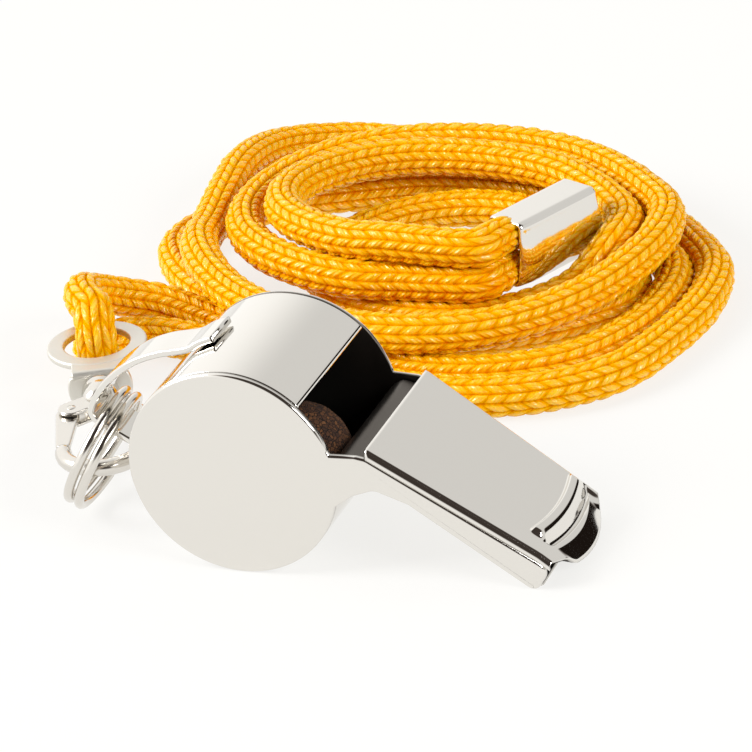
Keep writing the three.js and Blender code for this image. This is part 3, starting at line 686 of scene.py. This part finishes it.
def side_plate(name, side):
    """A disc with an arm: the outline is the barrel's circle from a little above the window's sill, then the
    arm with its corners rounded, folded inwards along BEND_X."""
    sill = np.degrees(np.arctan2(WINDOW_SILL[1] - BARREL_RADIUS, WINDOW_SILL[0])) * 1.25
    fold = np.degrees(np.arccos(BEND_X / BARREL_RADIUS))
    rim = np.vstack([arc(AXIS, BARREL_RADIUS, a, b) for a, b in ((sill, fold), (fold, 360 - fold))])
    rim = np.vstack([rim, arc(AXIS, BARREL_RADIUS, 360 - fold, NOTCH_ANGLE)[1:]])
    rim = np.delete(rim, np.flatnonzero(np.all(np.isclose(rim[1:], rim[:-1]), axis=1)) + 1, axis=0)
    tip_x = ROOF_END[0] - 0.35
    top = [(x, under_roof(x, SHEET + SEAM)) for x in (tip_x, ROOF_START[0])]
    corners = [rim[-1], NOTCH, ARM_PEAK, ARM_SHOULDER, (HEEL_X, 0.02), (HEEL_X + 0.7, 0.02), *top, WINDOW_SILL,
               rim[0]]
    outline = np.vstack([rim[1:], round_corners(corners, ARM_BEND)[1:]])

    def place(u, v, height):
        return np.stack([u, side * (HALF_WIDTH - SHEET + height - narrowing(u)), v], -1)

    points, faces = plate(outline, 0, SHEET, PLATE_RIM, place, split=BEND_X, steps=5, low_rim=INNER_RIM)
    inside = np.abs(points[:, 1]) + narrowing(points[:, 0]) < HALF_WIDTH - SHEET * INNER_FACE
    finish_mesh(name, points, faces, "whistle", NICKEL, [name.replace("plate_dressed", "plate")],
                {"inside": inside})


def lip_reach(y, reach, radius):
    """The x of a lip's bowed edge at y."""
    return reach - radius + np.sqrt(np.maximum(radius**2 - y**2, 0))


# The line of solder that shows between the band and a plate, and the lower lip's reach and bow
SOLDERED_SEAM = 0.08
LOWER_LIP_REACH, LOWER_LIP_BOW = HEEL_X + 2.9, 11.4


def barrel_band():
    """The band: a sheet carried from the labium round the barrel, over the notch and down the arm as its
    underside, out to a bowed lower lip."""
    turn = arc(AXIS, BARREL_RADIUS, LABIUM_ANGLE, NOTCH_ANGLE, 2.0)
    corners = [turn[-1], NOTCH, ARM_PEAK, ARM_SHOULDER, (HEEL_X, 0), (TIP_X + 1.5, 0)]
    path = resample(np.vstack([turn, round_corners(corners, ARM_BEND)[1:]]), 0.35)
    half = HALF_WIDTH - SHEET - SOLDERED_SEAM - narrowing(path[:, 0])
    section = bar_section(half, 0, BAND_SHEET, 0.1)
    points, faces = carried(path, section, in_whistle)
    points = points.reshape(-1, 3)
    reach = lip_reach(points[:, 1], LOWER_LIP_REACH, LOWER_LIP_BOW)
    points[:, 0] = np.minimum(points[:, 0], reach)
    inside = section[..., 1] > BAND_SHEET * INNER_FACE
    finish_mesh("band_dressed", points, faces, "whistle", NICKEL, ["barrel_band"],
                {"inside": inside})


# The bend at the roof's sides, and how far it comes down over the side plates
ROOF_FOLD, ROOF_SKIRT = 0.7, 0.78
# The lip's profile past the flat roof: forwards and up from where its bend starts
LIP_PROFILE = round_corners([(-0.35, 0.35 * ROOF_SLOPE), (0, 0), (1.0, -1.5), (1.06, -1.85)], 0.3, 6)
LIP_REACH, LIP_BOW, LIP_LOWEST = ROOF_END[0] + 1.4, 15.3, 0.75
# Towards the corners the lip falls less: from where, over which width, and by which share
CORNER_FROM, CORNER_OVER, CORNER_KEPT = 4.3, 1.8, 0.88
# The bite rib's place, height and width, and the crease's place past it, depth and width
RIB_X, RIB_Y, RIB_HEIGHT, RIB_WIDTH = 29.15, 0.9, 0.62, 0.62
CREASE_PAST, CREASE_DEPTH, CREASE_WIDTH = 1.02, 0.55, 0.34
# Both are bowed, drop = (y - middle)^2 / bow, and end this far from the middle, over a short fade
BOW_MIDDLE, RIB_BOW, RIB_HALF, RIB_FADE = 1.2, 52, 5.6, 0.15


def roof_relief(x, y):
    """The bite rib pressed up near the tip and the crease beyond it: a ridge and a groove bowed with the
    tip, fading out before the sides."""
    back = RIB_X - (y - BOW_MIDDLE) ** 2 / RIB_BOW - x
    fade = 1 / (1 + np.exp((np.abs(y - RIB_Y) - RIB_HALF) / RIB_FADE))
    ridge = RIB_HEIGHT * np.exp(-(back / RIB_WIDTH) ** 4)
    crease = -CREASE_DEPTH * np.exp(-((back + CREASE_PAST) / CREASE_WIDTH) ** 2)
    return fade * (ridge + crease)


def roof_lines():
    """The roof's grid. Along it: the share of the way to the lip's bend, closer together near the tip, then
    the lip's own steps forwards and down. Across it: 0 to 1 over half the flat top, on to 2 round the fold
    and to 2.1 down the skirt, and the same on the other side."""
    flat = np.concatenate([np.linspace(0, 0.78, 40, endpoint=False), np.linspace(0.78, 1, 70)])
    forward, fall = (LIP_PROFILE[1:] - LIP_PROFILE[0]).T
    run = np.concatenate([flat, np.ones(len(forward))])[:, None]
    past = np.concatenate([np.zeros(len(flat)), forward])[:, None]
    fall = np.concatenate([np.zeros(len(flat)), fall + ROOF_SLOPE * forward])[:, None]
    half = np.concatenate([np.linspace(0, 1, 50, endpoint=False), 1 + np.linspace(0, 1, 9), [2.1]])
    return run, past, fall, np.concatenate([-half[:0:-1], half])


def roof_top():
    """The roof's outer face: flat, sloping down to the tip, where a bent lip falls away, less at the corners,
    and folded down at its sides over the side plates."""
    run, past, fall, v = roof_lines()
    size, lip = np.abs(v), past[-1, 0]
    fold = np.clip(size - 1, 0, 1) * np.pi / 2
    half = HALF_WIDTH - narrowing(ROOF_START[0] + run * (LIP_REACH - lip - ROOF_START[0]))
    y = np.sign(v) * (np.minimum(size, 1) * (half - ROOF_FOLD) + ROOF_FOLD * np.sin(fold))
    edge = lip_reach(y, LIP_REACH, LIP_BOW) - lip
    x = ROOF_START[0] + run * (edge - ROOF_START[0]) + past
    drop = ROOF_FOLD * (1 - np.cos(fold)) + np.clip(size - 2, 0, 1) * 10 * (ROOF_SKIRT - ROOF_FOLD)
    corner = np.clip((np.abs(y - RIB_Y) - CORNER_FROM) / CORNER_OVER, 0, 1)
    share = 1 - CORNER_KEPT * corner**2 * (3 - 2 * corner)
    z = roof_z(x) + roof_relief(x, y) - drop / np.cos(ROOF_TILT) + fall * share
    return np.stack([x, y, np.maximum(z, LIP_LOWEST)], -1)


def sheet_shell(top, thickness):
    """A sheet from the grid of its outer face: its inner face lies one thickness below along the normals, and
    a rim of quads joins the two."""
    rows, columns = top.shape[:2]
    normal = np.cross(np.gradient(top, axis=0), np.gradient(top, axis=1))
    normal *= np.sign(normal[0, columns // 2, 2]) / np.linalg.norm(normal, axis=-1)[..., None]
    bottom = top - normal * thickness
    faces = grid_faces(rows, columns) + [f[::-1] for f in grid_faces(rows, columns, start=rows * columns)]
    rim = np.concatenate([np.arange(columns), np.arange(1, rows) * columns + columns - 1,
                          (rows - 1) * columns + np.arange(columns - 2, -1, -1),
                          np.arange(rows - 2, 0, -1) * columns])
    under = rim + rows * columns
    faces += np.stack([rim, under, np.roll(under, -1), np.roll(rim, -1)], 1).tolist()
    return np.vstack([top.reshape(-1, 3), bottom.reshape(-1, 3)]), faces


def mouth_roof():
    """The roof, a shell a little thinner than the sheet of the plates, with a dull inner face painted darker as
    shade.
    """
    points, faces = sheet_shell(roof_top(), SHEET * 0.9)
    inside = np.repeat([0.0, 1.0], len(points) // 2)
    finish_mesh("roof_dressed", points, faces, "whistle", NICKEL, ["mouthpiece_roof"],
                {"inside": inside})


def windway_floor():
    """The floor under the roof, bent down at its inner end into the wall that closes the chamber."""
    depth = SHEET + WINDWAY_HEIGHT
    inner = (FLOOR_INNER_X, under_roof(FLOOR_INNER_X, depth))
    wall = arc(AXIS, BARREL_RADIUS - FLOOR_WALL["inset"], FLOOR_WALL["from"], FLOOR_WALL["to"])
    shelf = (FLOOR_SHELF["x"], inner[1] + FLOOR_SHELF["rise"])
    corners = [(FLOOR_END_X, under_roof(FLOOR_END_X, depth)), inner, shelf, wall[0]]
    path = resample(np.vstack([round_corners(corners, 0.8), wall[1:]]), 0.3)
    section = bar_section(HALF_WIDTH - SHEET - SEAM - narrowing(path[:, 0]), 0, FLOOR_SHEET, 0.1)
    points, faces = carried(path, section, in_whistle)
    # All of the floor lies inside, so all of it takes the inner face's painted shade
    finish_mesh("floor_dressed", points.reshape(-1, 3), faces, "whistle", NICKEL,
                ["windway_floor"], {"inside": np.ones(points.shape[:2])})


EAR_SHEET, EAR_WIDTH, EAR_REACH, EAR_RIM = 0.7, 4.6, 7.21, 0.22
# The angles round the barrel that the ear's two feet lie on
EAR_FEET = {"top": (108, 124), "bottom": (194, 208)}
# The ear's free stretch: the angle round the barrel, and its share of the ear's reach over it
EAR_RISE = [
    (137.8, 0.34), (147.1, 0.525), (155.6, 0.69), (163.5, 0.843), (170.75, 0.961),
    (175.14, 1.0), (177.85, 0.945), (180.35, 0.79), (189.7, 0.316),
]


def hanger_ear():
    """A strap bent out from the barrel and back, with both feet on it and its edges rounded."""
    foot = BARREL_RADIUS + SEAM + EAR_SHEET
    angle = np.radians([a for a, _ in EAR_RISE])
    reach = BARREL_RADIUS + np.array([share for _, share in EAR_RISE]) * EAR_REACH
    free = np.stack([reach * np.cos(angle), BARREL_RADIUS + reach * np.sin(angle)], 1)
    top, bottom = arc(AXIS, foot, *EAR_FEET["top"], 8), arc(AXIS, foot, *EAR_FEET["bottom"], 7)
    path = resample(smooth_curve(np.vstack([top, free, bottom]), 8), 0.3)
    points, faces = carried(path, bar_section(EAR_WIDTH / 2, 0, EAR_SHEET, EAR_RIM, 4), in_whistle)
    finish_mesh("ear_dressed", points.reshape(-1, 3), faces, "whistle", NICKEL, ["hanger_ear"])


PEA_RADIUS, PEA_ANGLE, PEA_PLAY = 5.2, -9, 0.4
# The dents' waves over the sphere, and the mean radius and the depth of one wave as shares of the radius
PEA_WAVES = np.array([(9, 4, 7), (-6, 11, 3), (5, -8, 12), (13, 2, -9)])
PEA_MEAN, PEA_DENT, PEA_ROWS, PEA_COLUMNS = 0.985, 0.0035, 61, 96


def cork_pea():
    """A cork ball, r = R (mean + dent * waves), where the waves are a sum of sines over the sphere."""
    t = np.linspace(0, np.pi, PEA_ROWS)[:, None]
    p = TAU * np.arange(PEA_COLUMNS)[None, :] / PEA_COLUMNS
    way = np.stack([np.sin(t) * np.cos(p), np.sin(t) * np.sin(p), np.cos(t) + 0 * p], -1)
    waves = np.sin(way @ PEA_WAVES.T + np.arange(len(PEA_WAVES))).sum(-1)
    orbit = BARREL_RADIUS - BAND_SHEET - PEA_RADIUS - SEAM
    turn = np.radians(PEA_ANGLE)
    centre = np.array([orbit * np.cos(turn), -(HALF_WIDTH - SHEET - PEA_RADIUS - PEA_PLAY),
                       BARREL_RADIUS + orbit * np.sin(turn)])
    points = centre + way * (PEA_RADIUS * (PEA_MEAN + PEA_DENT * waves[..., None]))
    faces = tube_faces(PEA_ROWS, PEA_COLUMNS)
    finish_mesh("pea_dressed", points.reshape(-1, 3), faces, "pea", CORK, ["cork_pea"])


side_plate("side_plate_dressed_front", -1)
side_plate("side_plate_dressed_back", 1)
barrel_band()
mouth_roof()
windway_floor()
hanger_ear()
cork_pea()


# Ring, hook, eye and crimp

RING_RADIUS, RING_WIRE, RING_PITCH, RING_TURNS, RING_TILT = 5.9, 1.0, 1.2, 1.9, np.radians(30)
RING_CENTRE = np.array([-18.05, 0.2, 7.2])
# The wire's two ends lie at the back, where the photo doesn't show them; the coil sits a little along its axis
# for that, to stay clear of the ear when the whistle swings
RING_START, RING_SHIFT = np.radians(340), 0.4


def split_ring():
    """Wire wound nearly twice round: a helix about its own axis, then tilted about Y."""
    t = np.linspace(0, 1, 241)
    angle = TAU * RING_TURNS * t + RING_START
    axis = RING_PITCH * RING_TURNS * (t - 0.5) + RING_SHIFT
    cos, sin = np.cos(RING_TILT), np.sin(RING_TILT)
    y, z = RING_RADIUS * np.cos(angle), RING_RADIUS * np.sin(angle)
    line = RING_CENTRE + np.stack([axis * cos + z * sin, y, -axis * sin + z * cos], 1)
    out = (line[0] - RING_CENTRE) / np.linalg.norm(line[0] - RING_CENTRE)
    points, faces = wire(line, RING_WIRE / 2, RING_WIRE / 2, out, sides=20)
    finish_mesh("ring_dressed", points, faces, "ring", WIRE, ["split_ring"])


def on_hub(x, y, z):
    """A point of the eye from its place along the swivel's axis, across it and up."""
    x, y, z = (np.asarray(v, float)[..., None] for v in np.broadcast_arrays(x, y, z))
    return HUB + x * HOOK + y * ACROSS + z * Z


def on_hook(x, y, z):
    """A point of the hook, which lies turned half round on the swivel."""
    return on_hub(x, -np.asarray(y, float), -np.asarray(z, float))


BOW_RADIUS, BOW_WIRE, BOW_CENTRE, BOW_START, GATE_LENGTH = 4.0, 1.7, 14.15, 6.6, 6.8
GATE_PIVOT = np.array([BOW_START - 0.9, BOW_RADIUS - 1.0])
GATE_EAR, GATE_THICK, GATE_NOSE = 0.35, 0.7, 0.74
# Turned profiles: distance along the swivel's axis, or along the gate's pin, and radius
BOSS = [(1.0, 1.45), (1.05, 1.7), (1.25, 1.92), (1.6, 1.95), (2.0, 1.86), (2.2, 1.86), (2.6, 1.95), (3.6, 1.95),
        (4.2, 1.75), (4.6, 1.3), (4.75, 0.7)]
SWIVEL_PIN = [(-1.38, 0.25), (-1.33, 0.6), (-1.2, 0.92), (-1.0, 1.12), (-0.8, 1.15), (-0.66, 1.1), (-0.62, 0.95),
              (2.15, 0.95), (2.2, 0.6)]
RIVET_HEAD = [(0.06, 0.2), (0.03, 0.45), (-0.04, 0.5)]
# The hook's neck, from the boss to its straight side
NECK = [(3.4, -0.2), (4.9, -1.5), (6.1, -3.2), (7.6, -BOW_RADIUS), (9.5, -BOW_RADIUS), (12, -BOW_RADIUS)]
# Where two parts of one piece lie flush, one is let in by this much, so that no two faces coincide
LET_IN = 0.03


def hull_outline(a, a_radius, b, b_radius):
    """The outline of two discs joined by their common tangents."""
    a, b = np.asarray(a, float), np.asarray(b, float)
    gap = b - a
    way = np.degrees(np.arctan2(gap[1], gap[0]))
    open_angle = np.degrees(np.arccos((a_radius - b_radius) / np.linalg.norm(gap)))
    return np.vstack([arc(b, b_radius, way - open_angle, way + open_angle, 8),
                      arc(a, a_radius, way + open_angle, way + 360 - open_angle, 8)])


def hook_body():
    """A cast hook: a turned boss on the pin, a neck flowing into one straight side and the round bow, and two
    cheeks that hold the gate's pin."""
    bow = arc((BOW_CENTRE, 0), BOW_RADIUS, -90, 90, 6)
    nose = np.array([(BOW_START + GATE_LENGTH + 0.5, BOW_RADIUS)])
    flat = resample(np.vstack([smooth_curve(NECK, 6), bow, nose]), 0.4)
    half = BOW_WIRE / 2
    rod = wire(on_hook(flat[:, 0], flat[:, 1], 0), half, half, Z)
    boss = lathe(BOSS, HUB, HOOK, Z)
    cheek = hull_outline((4.1, 0.3), 1.3, GATE_PIVOT, 1.35)
    low = plate(cheek, -half, -half + GATE_EAR, 0.12, on_hook)
    high = plate(cheek, half - GATE_EAR, half, 0.12, on_hook)
    root = plate(hull_outline((3.9, -0.1), 1.2, (5.6, 0.2), 0.62), LET_IN - half, half - LET_IN, 0.2, on_hook)
    points, faces = gather(rod, boss, low, high, root)
    finish_mesh("hook_dressed", points, faces, "hook", WIRE, ["hook_body"])


def hook_gate():
    """The sprung lever: a tapered bar with rounded edges from its pin to the hook's nose."""
    nose = (BOW_START + GATE_LENGTH - SEAM - GATE_NOSE, BOW_RADIUS)
    outline = hull_outline(GATE_PIVOT + (0.25, 0.45), 1.2, nose, GATE_NOSE)
    points, faces = plate(outline, -GATE_THICK / 2, GATE_THICK / 2, 0.16, on_hook)
    finish_mesh("gate_dressed", points, faces, "gate", WIRE, ["hook_gate"])


def pins():
    """The gate's pin with a rivet head at both ends, and the swivel pin with its peened head, both turned."""
    half = BOW_WIRE / 2
    rivet = [(-half - out, radius) for out, radius in RIVET_HEAD]
    rivet += [(half + out, radius) for out, radius in RIVET_HEAD[::-1]]
    points, faces = lathe(rivet, on_hook(*GATE_PIVOT, 0), Z, HOOK, 24)
    finish_mesh("gate_pin_dressed", points, faces, "hook", WIRE, ["gate_pin"])
    points, faces = lathe(SWIVEL_PIN, HUB, HOOK, Z)
    finish_mesh("swivel_pin_dressed", points, faces, "hook", WIRE, ["swivel_pin"])


def washer(centre, u, v, w, inner, outer, low, high, rim):
    """A flat ring with rounded edges: its section is carried round a circle, from the inner radius to the
    outer one, which is given for each step round."""
    count = len(outer)
    angle = TAU * np.arange(count)[:, None] / count
    section = bar_section((outer - inner) / 2, low, high, rim)
    reach = section[..., 0] + ((outer + inner) / 2)[:, None]
    flat = u * (reach * np.cos(angle))[..., None] + v * (reach * np.sin(angle))[..., None]
    points = centre + flat + w * section[..., 1:]
    return points.reshape(-1, 3), grid_faces(*reach.shape, wrap_rows=True, wrap_columns=True)


TAB_RADIUS, TAB_SHEET, TAB_HOLE = 3.3, 0.8, 1.25
# The fold strip between loop and tab: half its width, how far back it starts and the bend's radius
FOLD_HALF, FOLD_BACK, FOLD_BEND = 2.75, 2.7, 0.9


def swivel_eye():
    """One stamping: a flat loop for the cord, a fold, and an upright tab that the pin turns in, cut off
    straight under the loop."""
    top = EYE["height"] - HUB[2]
    loop = washer(on_hub(-EYE["back"], 0, 0), HOOK, ACROSS, Z, EYE["inner"], np.full(96, EYE["outer"]), top,
                  top + EYE["sheet"], 0.2)
    angle = TAU * np.arange(72) / 72
    reach = np.minimum(TAB_RADIUS, (top + 0.2) / np.maximum(np.sin(angle), 0.01))
    tab = washer(HUB, ACROSS, Z, HOOK, TAB_HOLE, reach, -TAB_SHEET / 2, TAB_SHEET / 2, 0.18)
    face, skin = TAB_SHEET / 2 - LET_IN, top + EYE["sheet"] - LET_IN
    bend = round_corners([(-FOLD_BACK, skin), (face, skin), (face, 0.9)], FOLD_BEND)
    fold = carried(resample(bend, 0.15), bar_section(FOLD_HALF, -EYE["sheet"], 0, 0.12), on_hub)
    points, faces = gather(loop, tab, fold)
    finish_mesh("eye_dressed", points, faces, "lanyard", SATIN, ["swivel_eye"])


# The sleeve's wall, how far its sides bulge, and how far its mouth is pressed in and cut askew, over the
# length MOUTH_ZONE
CRIMP_WALL, CRIMP_BULGE, CRIMP_BEND = 0.5, 0.85, 0.7
MOUTH_PRESS, MOUTH_SKEW, MOUTH_ZONE = 0.26, 0.8, 1.6
# The heights of the sleeve's two edges at the open seam on its far side
SEAM_UPPER, SEAM_LOWER = -1.35, -2.25


def crimp_section():
    """The wall's closed outline along the sleeve: two skins with their points closer together at the mouth,
    and a half circle at both ends."""
    half = CRIMP_LENGTH / 2
    runs = -half + CRIMP_WALL / 2 + np.linspace(0, 1, 12) ** 1.6 * (CRIMP_LENGTH - CRIMP_WALL)
    skin = np.stack([runs[1:-1], np.zeros(10)], 1), np.stack([runs[-2:0:-1], np.full(10, CRIMP_WALL)], 1)
    ends = [arc((side * (half - CRIMP_WALL / 2), CRIMP_WALL / 2), CRIMP_WALL / 2, a, a + 180, 30)
            for side, a in ((1, -90), (-1, 90))]
    return np.vstack([skin[0], ends[0], skin[1], ends[1]])[None]


def crimp():
    """A sheet sleeve folded round both strands: its wall's section is carried round a rounded rectangle, open
    at a seam on the far side. The sides bulge by B * 6.75 u (1 - u)^2 for the height u, which is most at a
    third of it, and the mouth is pressed in and cut askew, most of all at its lower edge."""
    half_v, half_w = CRIMP_THICK / 2, CRIMP_HEIGHT / 2
    corners = [(half_v, SEAM_UPPER), (half_v, half_w), (-half_v, half_w), (-half_v, -half_w), (half_v, -half_w),
               (half_v, SEAM_LOWER)]
    axis = np.array([np.cos(CRIMP_TURN), np.sin(CRIMP_TURN), 0.0])
    across = np.array([-axis[1], axis[0], 0.0])

    def place(v, a, w):
        near = np.clip((MOUTH_ZONE - CRIMP_LENGTH / 2 - a) / MOUTH_ZONE, 0, 1)
        up = np.clip(0.5 + w / CRIMP_HEIGHT, 0, 1)
        v = v * (1 + CRIMP_BULGE / half_v * 6.75 * up * (1 - up) ** 2)
        v = v * (1 - MOUTH_PRESS * near**2 * np.clip(1.5 - 1.5 * up, 0, 1))
        a = a - MOUTH_SKEW * near * (1 - up)
        return CRIMP_CENTRE + v[..., None] * across + w[..., None] * Z + a[..., None] * axis

    points, faces = carried(resample(round_corners(corners, CRIMP_BEND, 8), 0.16), crimp_section(), place)
    finish_mesh("crimp_dressed", points.reshape(-1, 3), faces, "lanyard", NICKEL, ["crimp"])


split_ring()
hook_body()
hook_gate()
pins()
swivel_eye()
crimp()


# Studio

FLOOR_HALF, FLOOR_GREY, FLOOR_GLOW, TABLE_GLOW = 2.0, "707070", "FFFEFB", 0.79


def make_floor():
    """A plain white light table: opal acrylic that is lit from below as well, so shadows stay faint."""
    mesh = bpy.data.meshes.new("floor")
    corners = [(x * FLOOR_HALF, y * FLOOR_HALF, 0) for x, y in ((-1, -1), (1, -1), (1, 1), (-1, 1))]
    mesh.from_pydata(corners, [], [(0, 1, 2, 3)])
    floor = bpy.data.objects.new("floor", mesh)
    bpy.context.collection.objects.link(floor)
    s = Shader("opal_acrylic")
    s.set(Base_Color=srgb(FLOOR_GREY), Roughness=1.0, Specular_IOR_Level=0.0)
    s.set(Emission_Color=srgb(FLOOR_GLOW), Emission_Strength=TABLE_GLOW)
    mesh.materials.append(s.material)


# The boxes' side in metres, and the place that they face
BOX_SIZE, BOXES_FACE = 0.4, (0, 0.02, 0)


def soft_box(name, at, watts):
    """A square soft box at a place in metres."""
    data = bpy.data.lights.new(name, "AREA")
    data.shape, data.size, data.energy = "SQUARE", BOX_SIZE, watts
    light = bpy.data.objects.new(name, data)
    bpy.context.collection.objects.link(light)
    light.location = at
    light.rotation_mode = "QUATERNION"
    light.rotation_quaternion = (Vector(BOXES_FACE) - Vector(at)).to_track_quat("-Z", "Y")


# The room's brightness left and right of the object, between these shares of the way to the right
ROOM_LEFT, ROOM_RIGHT, LEFT_END, RIGHT_START = 1.22, 0.80, -0.55, 0.10
# Its two dark places: which way they lie, where their edge and their core start, as the cosine of the angle
# from that way, and how bright the core is. One is large, over and behind the camera; the other is small and
# lies low behind the object on the right.
DARK_OVER = {"way": (0.42, -0.50, 0.75), "edge": 0.56, "core": 0.76, "level": 0.17}
DARK_LOW = {"way": (0.548, 0.834, 0.05), "edge": 0.93, "core": 0.965, "level": 0.05}
ROOM_SHADE, ROOM_WHITE = "8A6E5C", "FFFEFC"


def dark_place(tree, way, place):
    """The room's brightness round a dark place: 1 outside it, its level in the core."""
    towards = add_node(tree, "ShaderNodeVectorMath", [(0, way)], operation="DOT_PRODUCT")
    towards.inputs[1].default_value = place["way"]
    return add_node(tree, "ShaderNodeMapRange", [("Value", towards.outputs["Value"])],
                    interpolation_type="SMOOTHSTEP", From_Min=place["edge"], From_Max=place["core"], To_Min=1.0,
                    To_Max=place["level"]).outputs["Result"]


def multiplied(tree, one, other):
    """The product of two values."""
    return add_node(tree, "ShaderNodeMath", [(0, one), (1, other)], operation="MULTIPLY").outputs["Value"]


def make_light():
    """A white room, brighter on the left, with two dark places, which are what the bent edges of the metal
    reflect, and a soft box at the front on either side."""
    world = bpy.data.worlds.new("studio")
    world.use_nodes = True
    tree = world.node_tree
    way = add_node(tree, "ShaderNodeTexCoord").outputs["Generated"]
    x = add_node(tree, "ShaderNodeSeparateXYZ", [("Vector", way)]).outputs["X"]
    room = add_node(tree, "ShaderNodeMapRange", [("Value", x)], interpolation_type="SMOOTHSTEP", From_Min=LEFT_END,
                    From_Max=RIGHT_START, To_Min=ROOM_LEFT, To_Max=ROOM_RIGHT).outputs["Result"]
    shade = multiplied(tree, dark_place(tree, way, DARK_LOW), dark_place(tree, way, DARK_OVER))
    tint = add_node(tree, "ShaderNodeMix", [("Factor", shade)], data_type="RGBA")
    tint.inputs["A"].default_value, tint.inputs["B"].default_value = srgb(ROOM_SHADE), srgb(ROOM_WHITE)
    background = tree.nodes["Background"]
    tree.links.new(tint.outputs["Result"], background.inputs["Color"])
    tree.links.new(multiplied(tree, room, shade), background.inputs["Strength"])
    bpy.context.scene.world = world
    soft_box("left_box", (-0.65, -0.30, 0.50), 7.0)
    soft_box("right_box", (0.75, -0.25, 0.45), 6.2)


# White on white keeps its tones
bpy.context.scene.view_settings.view_transform = "Standard"
make_floor()
make_light()
